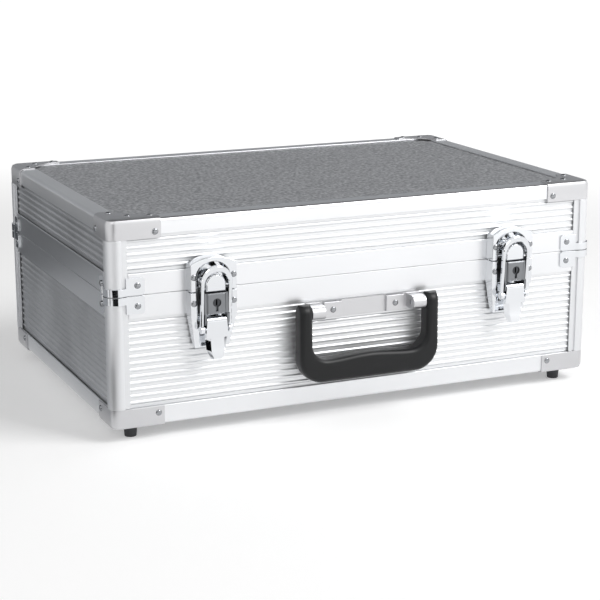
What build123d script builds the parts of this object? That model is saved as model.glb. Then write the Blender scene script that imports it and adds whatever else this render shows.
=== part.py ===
from build123d import *
import os
from math import asin, atan2, cos, degrees, sin, sqrt

# Aluminium camera case, in millimetres. +Z is up, the latches face -Y, +X is to the right.
# The origin is on the ground under the middle of everything that sticks out.

os.makedirs("parts", exist_ok=True)

# Overall sizes
case_width = 404.0
case_depth = 267.0
base_height = 99.5
lid_height = 55.5
parting_gap = 0.3
foot_height = 11.0

# Play between pieces
slot_slack = 0.1
seat_gap = 0.2
moving_gap = 0.3
running_fit = 0.05
pin_seat = 0.02

# Extruded aluminium frame
skin = 1.2
slot_width = 5.2
edge_flat_leg = 14.0
top_edge_height = 12.0
bottom_edge_height = 14.5
edge_round = 3.0
lid_rim_height = 16.0
base_rim_height = 17.0
post_leg = 13.8
post_core = 9.0
nose_radius = 8.5
nose_proud = 1.5

# Tongue of the base rim and the rebate it closes into
tongue_height = 5.0
tongue_thickness = 1.6
tongue_play = 0.4
rebate_height = 7.0
web_thickness = 1.4
rim_inner_leg = 12.0

# Ribbed wall boards and the flat top and bottom boards
rib_pitch = 5.0
rib_margin = 1.6
rib_section = [(1.3, 0.0), (0.85, 0.65), (0.0, 0.9), (-0.85, 0.65), (-1.3, 0.0)]

# Pressed corner caps
cap_leg = 39.5
cap_side_leg = 32.0
cap_height = 15.5
cap_thickness = 1.0
cap_corner_radius = 7.0
cap_top_radius = 3.5
cap_inner_chamfer = 1.6
cap_front_scallop = [(39.5, 11.0), (28.0, 13.0), (20.0, 19.0)]
cap_side_scallop = [(20.0, 19.0), (14.5, 25.0), (12.0, 32.0)]

# Chromed corner brackets beside the parting line
bracket_thickness = 1.2
bracket_end = 26.0
bracket_side_end = 20.0
bracket_plate_height = 13.0
bracket_strap_height = 5.6
bracket_chamfer = 1.6
bracket_seat = 0.1

# Dome rivets, drawn with a few flats
rivet_radius = 2.4
rivet_height = 1.2
rivet_sides = 6
rivet_taper = 40.0
cap_rivet_along = 34.8
cap_side_rivet_along = 27.0
cap_rivet_drop = 9.5
cap_flat_rivets = [(34.0, 7.5), (8.5, 25.5), (18.0, 11.0)]
bracket_rivet_along = 20.5
bracket_side_rivet_along = 16.5
bracket_rivet_rise = 7.5

# Rubber feet
foot_inset_x = 18.0
foot_inset_y = 16.0
foot_top_radius = 5.5
foot_bottom_radius = 4.5
foot_recess_radius = 2.6
foot_recess_sides = 8
foot_recess_depth = 2.2
foot_screw_radius = 2.3
foot_screw_height = 1.2

# Toggle latches
latch_offset = 126.0
latch_half_width = 18.0
latch_depth = 10.0
latch_sheet = 1.2
channel_knee = 18.0
channel_length = 43.0
channel_end_half_width = 13.5
channel_end_depth = 5.0
lip_width = 5.0
hood_shoulder = 21.0
hood_peak = 25.6
hood_window_half_width = 13.2
hood_window_top = 22.2
keeper_half_width = 7.8
keeper_top = 13.6
keeper_play = 0.4
latch_rivet_along = 15.5
hood_rivet_rise = 11.5
channel_rivet_drop = 8.0
housing_half_width = 9.2
housing_face_half_width = 7.25
housing_depth = 14.5
housing_face_depth = 16.0
housing_height = 16.0
housing_chamfer = 0.8
ear_thickness = 1.1
ear_radius = 3.0
lever_pin_radius = 1.25
lever_pivot_depth = 12.5
lever_pivot_drop = 21.5
lever_hub_radius = 3.5
lever_top_half_width = 7.2
lever_knee_half_width = 8.9
lever_knee_drop = 33.5
lever_plate_thickness = 3.2
lever_block_depth = 3.5
tab_knee_front = 5.4
tab_mid_drop = 43.0
tab_mid_depth = 16.9
tab_mid_back = 7.6
tab_mid_front = 5.0
lever_tip_drop = 49.5
lever_tip_depth = 17.4
tab_tip_depth = 14.6
tab_tip_back = 4.8
tab_tip_front = 3.4
bail_pin_radius = 1.2
bail_pin_depth = 13.0
bail_pin_drop = 27.5
bail_half_width = 12.1
bail_band = 2.6
bail_thickness = 2.6
bail_arch_centre = 36.0
bail_arch_extra = 2.2
bail_rise_depth = 2.6
bail_eye_radius = 3.0
bail_chamfer = 0.7
plug_radius = 3.2
plug_length = 9.0
plug_recess = 1.0
plug_drop = 7.3
key_slit_width = 1.2
key_slit_height = 4.4
key_slit_depth = 6.0
keyhole_slot_width = 2.0
keyhole_slot_end = 13.8
keyhole_slot_depth = 2.2

# Handle and its bracket
grip_half_width = 58.5
grip_arm_width = 10.0
grip_thickness = 15.0
grip_back_gap = 1.1
grip_drop = 79.5
grip_bar_height = 18.0
grip_outer_radius = 19.0
grip_inner_radius = 13.0
grip_wave = 2.2
grip_edge_chamfer = 2.6
grip_arm_overrun = 6.0
handle_pivot_drop = 25.5
handle_pin_radius = 2.0
handle_pin_bite = 6.0
plate_top_drop = 19.5
plate_bottom_drop = 32.5
plate_thickness = 1.8
pad_inner = 18.5
pad_outer = 34.5
pad_proud = 2.4
pad_slope = 2.0
lug_width = 11.0
lug_radius = 5.4

# Rear hinges
hinge_offset = 118.0
leaf_length = 60.0
leaf_height = 13.5
leaf_thickness = 1.5
knuckle_radius = 3.5
lid_knuckle_length = 20.0
hinge_pin_radius = 1.5
leaf_rivet_pitch = 22.0
leaf_rivet_rise = 9.0

# Soft lining
lining_thickness = 3.5
lining_drop = 3.0
pad_thickness = 8.0
lid_pad_thickness = 20.0
divider_thickness = 8.0
divider_drop = 8.0
cell_columns = 3

# Levels and faces worked out from the sizes above
base_floor_z = foot_height
parting_z = base_floor_z + base_height
lid_bottom_z = parting_z + parting_gap
lid_top_z = lid_bottom_z + lid_height
middle_z = (base_floor_z + lid_top_z) / 2
frame_depth = 2 * skin + slot_width
board_thickness = slot_width - 2 * slot_slack
rib_proud = max(rise for across, rise in rib_section)
board_core = board_thickness - rib_proud
nose_centre = nose_radius - nose_proud
board_end = frame_depth + seat_gap
web_ceiling_z = parting_z + rebate_height + web_thickness
cap_low_z = lid_top_z + cap_thickness - cap_height
cap_layer_rise = cap_top_radius / sqrt(2)
cap_layer_inset = cap_top_radius - cap_layer_rise
half_width = case_width / 2
bail_lean = asin(bail_rise_depth / bail_arch_centre)
bail_reach = (
    bail_pin_depth
    + sin(bail_lean) * (bail_arch_centre + bail_half_width)
    + cos(bail_lean) * bail_thickness / 2
)
hinge_axis_depth = knuckle_radius + moving_gap
hinge_reach = hinge_axis_depth + knuckle_radius
bail_inner_top = bail_arch_centre + bail_half_width - bail_band - bail_arch_extra
keeper_depth = (
    bail_pin_depth
    + sin(bail_lean) * bail_inner_top
    - cos(bail_lean) * bail_thickness / 2
    - keeper_play
)
centre_y = (bail_reach - hinge_reach) / 2
front_y = centre_y - case_depth / 2
rear_y = centre_y + case_depth / 2
grip_pivot_depth = grip_back_gap + grip_thickness / 2
side_to_side = Plane(origin=(0, 0, 0), z_dir=(1, 0, 0))
front_to_rear = Plane(origin=(0, centre_y, 0), z_dir=(0, 1, 0))
low_corner = (Align.MIN, Align.MIN)
low_middle = (Align.CENTER, Align.MIN)
high_middle = (Align.CENTER, Align.MAX)


class Wall:
    """One wall of the case: the middle of its outer face, its outward direction and its length."""

    def __init__(self, name, outward, x, y, length):
        self.name = name
        self.outward = Vector(*outward)
        self.x = x
        self.y = y
        self.length = length


walls = [
    Wall("front", (0, -1, 0), 0, front_y, case_width),
    Wall("rear", (0, 1, 0), 0, rear_y, case_width),
    Wall("left", (-1, 0, 0), -half_width, centre_y, case_depth),
    Wall("right", (1, 0, 0), half_width, centre_y, case_depth),
]
up = Vector(0, 0, 1)
down = Vector(0, 0, -1)


def keep(builder, name):
    """Labels a finished piece and writes it under its own name."""
    builder.part.label = name
    export_step(builder.part, os.path.join("parts", name + ".step"))


def wall_plane(wall, height, toward):
    """A plane across a wall: X points inward, Y toward the board and Z along the wall."""
    inward = wall.outward * -1
    return Plane(origin=(wall.x, wall.y, height), x_dir=inward, z_dir=inward.cross(toward))


def corner_plane(height):
    """A level plane at the front left corner: X and Y both point inward from the outer faces."""
    return Plane(origin=(-half_width, front_y, height))


def level_plane(height):
    """A level plane centred on the case."""
    return Plane(origin=(0, centre_y, height))


def front_plane(x, depth):
    """A plane facing the viewer, in front of the front face, with Y measured from the parting line."""
    origin = (x, front_y - depth, parting_z)
    return Plane(origin=origin, x_dir=(1, 0, 0), z_dir=(0, -1, 0))


def across_plane(x):
    """A plane across the front face: X is the depth in front of it, Y the height over the parting line."""
    return Plane(origin=(x, front_y, parting_z), x_dir=(0, -1, 0), z_dir=(-1, 0, 0))


def rear_plane(x, depth):
    """A plane behind the rear face, facing backward, with Y measured from the parting line."""
    return Plane(origin=(x, rear_y + depth, parting_z), x_dir=(-1, 0, 0), z_dir=(0, 1, 0))


def block(plane, x_range, y_range, amount, mode=Mode.ADD):
    """A straight block drawn on a plane from one X and Y range."""
    with BuildSketch(plane) as outline:
        with Locations((x_range[0], y_range[0])):
            Rectangle(x_range[1] - x_range[0], y_range[1] - y_range[0], align=low_corner)
    extrude(outline.sketch, amount=amount, mode=mode)


def rod(x_start, x_end, depth, height, radius, mode=Mode.ADD):
    """A round rod or bore along X in front of the front face."""
    start = Plane(
        origin=(x_start, front_y - depth, parting_z + height), x_dir=(0, 1, 0), z_dir=(1, 0, 0)
    )
    with BuildSketch(start) as outline:
        Circle(radius)
    extrude(outline.sketch, amount=x_end - x_start, mode=mode)


def rivet(point, normal):
    """A dome rivet head that sits on a face."""
    with BuildSketch(Plane(origin=point, z_dir=normal)) as outline:
        RegularPolygon(radius=rivet_radius, side_count=rivet_sides)
    extrude(outline.sketch, amount=rivet_height, taper=rivet_taper)


def to_four_corners():
    """Repeats what stands at the front left corner at the other three."""
    mirror(about=side_to_side)
    mirror(about=front_to_rear)


# Edge extrusions


def edge_section(side_leg):
    """Section of a double-groove edge angle: outer and inner legs round a solid corner."""
    Rectangle(skin, side_leg, align=low_corner)
    Rectangle(edge_flat_leg, skin, align=low_corner)
    Rectangle(frame_depth, frame_depth, align=low_corner)
    with Locations((frame_depth - skin, 0)):
        Rectangle(skin, side_leg, align=low_corner)
    with Locations((0, frame_depth - skin)):
        Rectangle(edge_flat_leg, skin, align=low_corner)
    fillet(vertices().sort_by_distance((0, 0, 0))[0], radius=edge_round)


for wall in walls:
    edge_run = wall.length - 2 * (edge_flat_leg + seat_gap)
    with BuildPart() as top_edge:
        with BuildSketch(wall_plane(wall, lid_top_z, down)):
            edge_section(top_edge_height)
        extrude(amount=edge_run / 2, both=True)
    keep(top_edge, "top_edge_" + wall.name)

    with BuildPart() as bottom_edge:
        with BuildSketch(wall_plane(wall, base_floor_z, up)):
            edge_section(bottom_edge_height)
        extrude(amount=edge_run / 2, both=True)
    keep(bottom_edge, "bottom_edge_" + wall.name)


# Rims with the tongue and the rebate


def ring(low_z, height, outer_inset, inner_inset):
    """A level ring round the case between two insets, rounded like the post noses."""
    with BuildSketch(level_plane(low_z)) as outline:
        RectangleRounded(
            case_width - 2 * outer_inset, case_depth - 2 * outer_inset, nose_centre - outer_inset
        )
        if inner_inset < nose_centre:
            RectangleRounded(
                case_width - 2 * inner_inset,
                case_depth - 2 * inner_inset,
                nose_centre - inner_inset,
                mode=Mode.SUBTRACT,
            )
        else:
            Rectangle(
                case_width - 2 * inner_inset, case_depth - 2 * inner_inset, mode=Mode.SUBTRACT
            )
    extrude(outline.sketch, amount=height)


def rim_bars(level_z, toward, band_height, leg_start, leg_end):
    """The outer bands and inner legs of a rim along the four walls."""
    for wall in walls:
        band_run = wall.length - 2 * (post_leg + slot_slack)
        with BuildSketch(wall_plane(wall, level_z, toward)) as outline:
            Rectangle(skin, band_height, align=low_corner)
        extrude(outline.sketch, amount=band_run / 2, both=True)
        with BuildSketch(wall_plane(wall, level_z, toward)) as outline:
            with Locations((frame_depth - skin, leg_start)):
                Rectangle(skin, leg_end - leg_start, align=low_corner)
        extrude(outline.sketch, amount=band_run / 2, both=True)


with BuildPart() as base_rim:
    rim_bars(parting_z, down, base_rim_height, 0, rim_inner_leg)
    ring(parting_z - web_thickness, web_thickness, skin, frame_depth)
    tongue_inset = skin + tongue_play
    ring(parting_z, tongue_height, tongue_inset, tongue_inset + tongue_thickness)
keep(base_rim, "base_rim")

with BuildPart() as lid_rim:
    lid_leg_start = rebate_height - parting_gap
    rim_bars(lid_bottom_z, up, lid_rim_height, lid_leg_start, rim_inner_leg)
    ring(parting_z + rebate_height, web_thickness, skin, frame_depth)
keep(lid_rim, "lid_rim")


# Corner posts with a round nose and the grooves for the boards


def post_legs():
    """The outer and inner legs of a post that hold the ends of two boards."""
    for inset in (0, frame_depth - skin):
        with Locations((nose_centre, inset)):
            Rectangle(post_leg - nose_centre, skin, align=low_corner)
        with Locations((inset, nose_centre)):
            Rectangle(skin, post_leg - nose_centre, align=low_corner)


def open_inside():
    """Cuts away the side of a post that faces the inside of the case."""
    with Locations((frame_depth, frame_depth)):
        Rectangle(post_leg, post_leg, align=low_corner, mode=Mode.SUBTRACT)


def post_length(low_z, high_z):
    """A length of post with its nose."""
    with BuildSketch(corner_plane(low_z)) as outline:
        with Locations((nose_centre, nose_centre)):
            Circle(nose_radius)
        with Locations((-nose_proud, -nose_proud)):
            Rectangle(
                post_core + nose_proud, post_core + nose_proud, align=low_corner, mode=Mode.INTERSECT
            )
        post_legs()
        open_inside()
    extrude(outline.sketch, amount=high_z - low_z)


def post_under_cap(low_z, high_z, with_legs):
    """A length of post whose corner is rounded to fit inside the cap."""
    with BuildSketch(corner_plane(low_z)) as outline:
        Rectangle(post_core, post_core, align=low_corner)
        fillet(vertices().sort_by_distance((0, 0, 0))[0], radius=cap_corner_radius)
        if with_legs:
            post_legs()
        open_inside()
    extrude(outline.sketch, amount=high_z - low_z)


def seat_cut(low_z, high_z):
    """Room in the posts for the ring of a rim."""
    with BuildSketch(level_plane(low_z)) as outline:
        RectangleRounded(case_width - 2 * skin, case_depth - 2 * skin, nose_centre - skin)
    extrude(outline.sketch, amount=high_z - low_z, mode=Mode.SUBTRACT)


with BuildPart() as lid_corner_posts:
    post_length(lid_bottom_z, cap_low_z)
    post_under_cap(cap_low_z, lid_top_z - top_edge_height, True)
    post_under_cap(lid_top_z - top_edge_height, lid_top_z - cap_top_radius, False)
    seat_cut(lid_bottom_z, web_ceiling_z)
    to_four_corners()
keep(lid_corner_posts, "lid_corner_posts")

base_edge_top_z = base_floor_z + bottom_edge_height
with BuildPart() as base_corner_posts:
    post_length(base_edge_top_z, parting_z)
    post_under_cap(base_floor_z + cap_top_radius, base_edge_top_z, False)
    seat_cut(parting_z - web_thickness, parting_z)
    to_four_corners()
keep(base_corner_posts, "base_corner_posts")


# Boards


def ribbed_board(wall, low_z, high_z, ribs_low_z, ribs_high_z):
    """A wall board whose rounded ribs run along the wall."""
    board_run = wall.length - 2 * (post_core + seat_gap)
    rib_space = ribs_high_z - ribs_low_z - 2 * rib_margin
    rib_count = int(rib_space // rib_pitch) + 1
    first_rib = (ribs_low_z + ribs_high_z - (rib_count - 1) * rib_pitch) / 2 - low_z
    board_face = skin + slot_slack + rib_proud
    rib_outline = [(-rise, across) for across, rise in rib_section]
    with BuildSketch(wall_plane(wall, low_z, up)) as outline:
        with Locations((board_face, 0)):
            Rectangle(board_core, high_z - low_z, align=low_corner)
        with Locations(*[(board_face, first_rib + i * rib_pitch) for i in range(rib_count)]):
            Polygon(*rib_outline, align=None)
    extrude(outline.sketch, amount=board_run / 2, both=True)


base_board_low_z = base_floor_z + board_end
base_board_high_z = parting_z - web_thickness - seat_gap
lid_board_low_z = web_ceiling_z + seat_gap
lid_board_high_z = lid_top_z - board_end
for wall in walls:
    with BuildPart() as base_panel:
        ribbed_board(
            wall,
            base_board_low_z,
            base_board_high_z,
            base_floor_z + bottom_edge_height,
            parting_z - base_rim_height,
        )
    keep(base_panel, "base_" + wall.name + "_panel")

    with BuildPart() as lid_panel:
        ribbed_board(
            wall,
            lid_board_low_z,
            lid_board_high_z,
            lid_bottom_z + lid_rim_height,
            lid_top_z - top_edge_height,
        )
    keep(lid_panel, "lid_" + wall.name + "_panel")


def flat_board(low_z):
    """A flat board that fills the frame of the top or the bottom."""
    with BuildSketch(level_plane(low_z)) as outline:
        Rectangle(case_width - 2 * board_end, case_depth - 2 * board_end)
    extrude(outline.sketch, amount=board_thickness)


with BuildPart() as lid_top_panel:
    flat_board(lid_top_z - skin - slot_slack - board_thickness)
keep(lid_top_panel, "lid_top_panel")

with BuildPart() as base_bottom_panel:
    flat_board(base_floor_z + skin + slot_slack)
keep(base_bottom_panel, "base_bottom_panel")


# Pressed corner caps: a rounded shell with a scalloped top

def cap_layer(low_z, height, outside, radius, inset):
    """One layer of a cap at the front left corner, drawn in by an inset over its height."""
    with BuildSketch(corner_plane(low_z)) as outline:
        with Locations((-outside, -outside)):
            Rectangle(2 * cap_leg, 2 * cap_leg, align=low_corner)
        fillet(vertices().sort_by_distance((0, 0, 0))[0], radius=radius)
    extrude(outline.sketch, amount=height, taper=degrees(atan2(inset, height)))


with BuildPart() as cap_hollow:
    cap_layer(cap_low_z, lid_top_z - cap_low_z, 0, cap_corner_radius - cap_thickness, 0)
    chamfer(edges().group_by(Axis.Z)[-1], length=cap_inner_chamfer)

with BuildPart() as top_corner_caps:
    bend_z = lid_top_z + cap_thickness - cap_top_radius
    cap_layer(cap_low_z, bend_z - cap_low_z, cap_thickness, cap_corner_radius, 0)
    cap_layer(bend_z, cap_layer_rise, cap_thickness, cap_corner_radius, cap_layer_inset)
    cap_layer(
        bend_z + cap_layer_rise,
        cap_layer_inset,
        cap_thickness - cap_layer_inset,
        cap_corner_radius - cap_layer_inset,
        cap_layer_rise,
    )
    add(cap_hollow.part, mode=Mode.SUBTRACT)
    with BuildSketch(corner_plane(cap_low_z)):
        with Locations((-cap_thickness, -cap_thickness)):
            Rectangle(cap_leg + cap_thickness, cap_side_leg + cap_thickness, align=low_corner)
    extrude(amount=cap_height, mode=Mode.INTERSECT)
    with BuildSketch(corner_plane(lid_top_z)):
        with BuildLine():
            ThreePointArc(*cap_front_scallop)
            ThreePointArc(*cap_side_scallop)
            Polyline(cap_side_scallop[-1], (cap_leg, cap_side_leg), cap_front_scallop[0])
        make_face()
    extrude(amount=cap_thickness, mode=Mode.SUBTRACT)
    to_four_corners()
keep(top_corner_caps, "top_corner_caps")

with BuildPart() as bottom_corner_caps:
    mirror(top_corner_caps.part, about=Plane.XY.offset(middle_z))
keep(bottom_corner_caps, "bottom_corner_caps")


# Corner brackets: a strap round the nose between two riveted plates


def corner_bracket(level_z, direction):
    """One bracket at the front left corner, growing up or down from a level."""
    inner_radius = nose_radius + bracket_seat
    outer_radius = inner_radius + bracket_thickness
    outer_face = bracket_seat + bracket_thickness
    plate_start = nose_centre + sqrt(inner_radius**2 - (nose_centre + bracket_seat) ** 2)
    with BuildSketch(corner_plane(level_z)) as outline:
        with Locations((nose_centre, nose_centre)):
            Circle(outer_radius)
        with Locations((-bracket_seat, -bracket_seat)):
            Rectangle(bracket_end, bracket_end, align=low_corner, mode=Mode.SUBTRACT)
        with Locations((nose_centre, nose_centre)):
            Circle(inner_radius, mode=Mode.SUBTRACT)
    extrude(outline.sketch, amount=direction * bracket_strap_height)
    with BuildSketch(corner_plane(level_z)) as outline:
        with Locations((plate_start, -outer_face)):
            Rectangle(bracket_end - plate_start, bracket_thickness, align=low_corner)
        with Locations((-outer_face, plate_start)):
            Rectangle(bracket_thickness, bracket_side_end - plate_start, align=low_corner)
    extrude(outline.sketch, amount=direction * bracket_plate_height)
    far_front = edges().filter_by(Axis.Y).group_by(Axis.X)[-1]
    far_side = edges().filter_by(Axis.X).group_by(Axis.Y)[-1]
    chamfer(far_front + far_side, length=bracket_chamfer)


with BuildPart() as lid_corner_brackets:
    corner_bracket(lid_bottom_z + seat_gap, 1)
    to_four_corners()
keep(lid_corner_brackets, "lid_corner_brackets")

with BuildPart() as base_corner_brackets:
    corner_bracket(parting_z - seat_gap, -1)
    to_four_corners()
keep(base_corner_brackets, "base_corner_brackets")


# Feet and their screws

foot_seat_z = base_floor_z - cap_thickness
with BuildPart() as rubber_feet:
    with BuildSketch(corner_plane(0)):
        with Locations((foot_inset_x, foot_inset_y)):
            Circle(foot_bottom_radius)
    with BuildSketch(corner_plane(foot_seat_z)):
        with Locations((foot_inset_x, foot_inset_y)):
            Circle(foot_top_radius)
    loft()
    with BuildSketch(corner_plane(0)):
        with Locations((foot_inset_x, foot_inset_y)):
            RegularPolygon(foot_recess_radius, foot_recess_sides)
    extrude(amount=foot_recess_depth, mode=Mode.SUBTRACT)
    to_four_corners()
keep(rubber_feet, "rubber_feet")

with BuildPart() as foot_screws:
    with BuildSketch(corner_plane(foot_recess_depth)):
        with Locations((foot_inset_x, foot_inset_y)):
            RegularPolygon(foot_screw_radius, foot_recess_sides)
    extrude(amount=-foot_screw_height)
    to_four_corners()
keep(foot_screws, "foot_screws")


# Toggle latches


def latch_base(x):
    """The riveted channel with two lips that the lever folds into."""
    with BuildSketch(front_plane(x, 0)) as outline:
        Polygon(
            (-latch_half_width, -seat_gap),
            (latch_half_width, -seat_gap),
            (latch_half_width, -channel_knee),
            (channel_end_half_width, -channel_length),
            (-channel_end_half_width, -channel_length),
            (-latch_half_width, -channel_knee),
            align=None,
        )
    extrude(outline.sketch, amount=latch_depth)
    with BuildSketch(across_plane(x)) as outline:
        Polygon(
            (latch_depth, -channel_knee),
            (channel_end_depth, -channel_length),
            (2 * latch_depth, -channel_length),
            (2 * latch_depth, -channel_knee),
            align=None,
        )
    extrude(outline.sketch, amount=latch_half_width, both=True, mode=Mode.SUBTRACT)
    offset(amount=-latch_sheet, openings=faces().sort_by(Axis.Z)[-1])
    window_half = latch_half_width - lip_width
    window_end = channel_length - latch_sheet - moving_gap
    with BuildSketch(front_plane(x, 2 * latch_sheet)) as outline:
        Polygon(
            (-window_half, 0),
            (window_half, 0),
            (window_half, -channel_knee),
            (channel_end_half_width - lip_width, -window_end),
            (lip_width - channel_end_half_width, -window_end),
            (-window_half, -channel_knee),
            align=None,
        )
    extrude(outline.sketch, amount=latch_depth, mode=Mode.SUBTRACT)


def strike_hood(x):
    """The hood on the lid with its arched window, and the keeper inside it."""
    with BuildSketch(front_plane(x, 0)) as outline:
        with BuildLine():
            Polyline(
                (latch_half_width, hood_shoulder),
                (latch_half_width, parting_gap + seat_gap),
                (-latch_half_width, parting_gap + seat_gap),
                (-latch_half_width, hood_shoulder),
            )
            ThreePointArc(
                (-latch_half_width, hood_shoulder), (0, hood_peak), (latch_half_width, hood_shoulder)
            )
        make_face()
    extrude(outline.sketch, amount=latch_depth)
    offset(amount=-latch_sheet, openings=faces().sort_by(Axis.Z)[0])
    window_spring = hood_window_top - hood_window_half_width
    with BuildSketch(front_plane(x, 2 * latch_sheet)) as outline:
        with BuildLine():
            Polyline(
                (hood_window_half_width, window_spring),
                (hood_window_half_width, 0),
                (-hood_window_half_width, 0),
                (-hood_window_half_width, window_spring),
            )
            ThreePointArc(
                (-hood_window_half_width, window_spring),
                (0, hood_window_top),
                (hood_window_half_width, window_spring),
            )
        make_face()
    extrude(outline.sketch, amount=latch_depth, mode=Mode.SUBTRACT)
    keeper_low = parting_gap + seat_gap
    keeper_spring = keeper_top - keeper_half_width
    with BuildSketch(front_plane(x, latch_sheet)) as outline:
        with BuildLine():
            Polyline(
                (keeper_half_width, keeper_spring),
                (keeper_half_width, keeper_low),
                (-keeper_half_width, keeper_low),
                (-keeper_half_width, keeper_spring),
            )
            ThreePointArc(
                (-keeper_half_width, keeper_spring),
                (0, keeper_top),
                (keeper_half_width, keeper_spring),
            )
        make_face()
    extrude(outline.sketch, amount=keeper_depth - latch_sheet)
    chamfer(faces().sort_by(Axis.Y)[0].outer_wire().edges(), length=housing_chamfer)


def lock_housing(x):
    """The lock body with the keyhole face and two ears that carry the lever pin."""
    block(
        front_plane(x, latch_sheet),
        (-housing_half_width, housing_half_width),
        (-housing_height, -seat_gap),
        housing_depth - latch_sheet,
    )
    block(
        front_plane(x, housing_depth),
        (-housing_face_half_width, housing_face_half_width),
        (-housing_height, -seat_gap),
        housing_face_depth - housing_depth,
    )
    chamfer(faces().sort_by(Axis.Y)[0].outer_wire().edges(), length=housing_chamfer)
    for ear_x in (x - housing_half_width, x + housing_half_width - ear_thickness):
        ear = Plane(
            origin=(ear_x, front_y, parting_z), x_dir=(0, 1, 0), z_dir=(1, 0, 0)
        )
        with BuildSketch(ear) as outline:
            with Locations((-lever_pivot_depth, -lever_pivot_drop)):
                Circle(ear_radius)
                Rectangle(2 * ear_radius, lever_pivot_drop - housing_height, align=low_middle)
        extrude(outline.sketch, amount=ear_thickness)
    rod(
        x - housing_half_width,
        x + housing_half_width,
        lever_pivot_depth,
        -lever_pivot_drop,
        lever_pin_radius + pin_seat,
        Mode.SUBTRACT,
    )
    bore_start = housing_face_depth - plug_recess - plug_length - moving_gap
    with BuildSketch(front_plane(x, bore_start)) as outline:
        with Locations((0, -plug_drop)):
            Circle(plug_radius + running_fit)
    extrude(outline.sketch, amount=housing_face_depth - bore_start, mode=Mode.SUBTRACT)
    block(
        front_plane(x, housing_face_depth - keyhole_slot_depth),
        (-keyhole_slot_width / 2, keyhole_slot_width / 2),
        (-keyhole_slot_end, -plug_drop),
        keyhole_slot_depth,
        Mode.SUBTRACT,
    )


def lock_plug(x):
    """The plug that the key turns, with its slit."""
    plug_front = housing_face_depth - plug_recess
    with BuildSketch(front_plane(x, plug_front - plug_length)) as outline:
        with Locations((0, -plug_drop)):
            Circle(plug_radius)
    extrude(outline.sketch, amount=plug_length)
    block(
        front_plane(x, plug_front - key_slit_depth),
        (-key_slit_width / 2, key_slit_width / 2),
        (-plug_drop - key_slit_height / 2, -plug_drop + key_slit_height / 2),
        key_slit_depth,
        Mode.SUBTRACT,
    )


def tab_section(x, drop, back_half, front_half, back_depth, front_depth):
    """One level section of the finger tab: wide at the back, narrow in front."""
    with BuildSketch(Plane(origin=(x, front_y, parting_z - drop))) as outline:
        Polygon(
            (-back_half, -back_depth),
            (back_half, -back_depth),
            (front_half, -front_depth),
            (-front_half, -front_depth),
            align=None,
        )
    return outline.sketch.face()


def lever(x):
    """The lever: a hub on the lever pin, a tapered plate and a pointed finger tab."""
    plate_depth = lever_pivot_depth + lever_hub_radius
    plate_back = plate_depth - lever_plate_thickness
    block_back = bail_pin_depth - lever_block_depth
    block_end = bail_pin_drop + lever_block_depth
    with BuildSketch(across_plane(x)) as outline:
        with Locations((lever_pivot_depth, -lever_pivot_drop)):
            Circle(lever_hub_radius)
        Polygon(
            (plate_depth, -lever_pivot_drop),
            (plate_depth, -lever_knee_drop),
            (plate_back, -lever_knee_drop),
            (plate_back, -block_end - moving_gap),
            (block_back, -block_end + lever_block_depth / 2),
            (block_back, -lever_pivot_drop),
            align=None,
        )
    extrude(outline.sketch, amount=lever_knee_half_width, both=True)
    with BuildSketch(front_plane(x, 0)) as outline:
        Polygon(
            (-lever_top_half_width, -housing_height),
            (lever_top_half_width, -housing_height),
            (lever_knee_half_width, -lever_knee_drop),
            (-lever_knee_half_width, -lever_knee_drop),
            align=None,
        )
    extrude(outline.sketch, amount=2 * plate_depth, mode=Mode.INTERSECT)
    tab_sections = [
        tab_section(x, lever_knee_drop, lever_knee_half_width, tab_knee_front, plate_back, plate_depth),
        tab_section(x, tab_mid_drop, tab_mid_back, tab_mid_front, plate_back, tab_mid_depth),
        tab_section(x, lever_tip_drop, tab_tip_back, tab_tip_front, tab_tip_depth, lever_tip_depth),
    ]
    loft(tab_sections, ruled=True)
    rod(
        x - lever_knee_half_width,
        x + lever_knee_half_width,
        lever_pivot_depth,
        -lever_pivot_drop,
        lever_pin_radius + running_fit,
        Mode.SUBTRACT,
    )
    rod(
        x - lever_knee_half_width,
        x + lever_knee_half_width,
        bail_pin_depth,
        -bail_pin_drop,
        bail_pin_radius + pin_seat,
        Mode.SUBTRACT,
    )


def bail(x):
    """The arched loop that passes over the keeper, with an eye at the foot of each leg."""
    bail_plane = Plane(
        origin=(x, front_y - bail_pin_depth, parting_z - bail_pin_drop),
        x_dir=(1, 0, 0),
        z_dir=(0, -cos(bail_lean), -sin(bail_lean)),
    )
    inner_half = bail_half_width - bail_band
    inner_centre = bail_inner_top - inner_half
    with BuildSketch(bail_plane) as outline:
        with Locations((0, bail_arch_centre)):
            Circle(bail_half_width)
        Rectangle(2 * bail_half_width, bail_arch_centre, align=low_middle)
        with Locations((0, inner_centre)):
            Circle(inner_half, mode=Mode.SUBTRACT)
        Rectangle(2 * inner_half, inner_centre, align=low_middle, mode=Mode.SUBTRACT)
    extrude(outline.sketch, amount=bail_thickness / 2, both=True)
    arch_front = faces().filter_by(bail_plane).sort_by(Axis.Y)[0]
    chamfer(arch_front.edges().filter_by(GeomType.CIRCLE), length=bail_chamfer)
    for eye_start in (x - bail_half_width, x + inner_half):
        rod(eye_start, eye_start + bail_band, bail_pin_depth, -bail_pin_drop, bail_eye_radius)
    rod(
        x - bail_half_width,
        x + bail_half_width,
        bail_pin_depth,
        -bail_pin_drop,
        bail_pin_radius + running_fit,
        Mode.SUBTRACT,
    )


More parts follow.
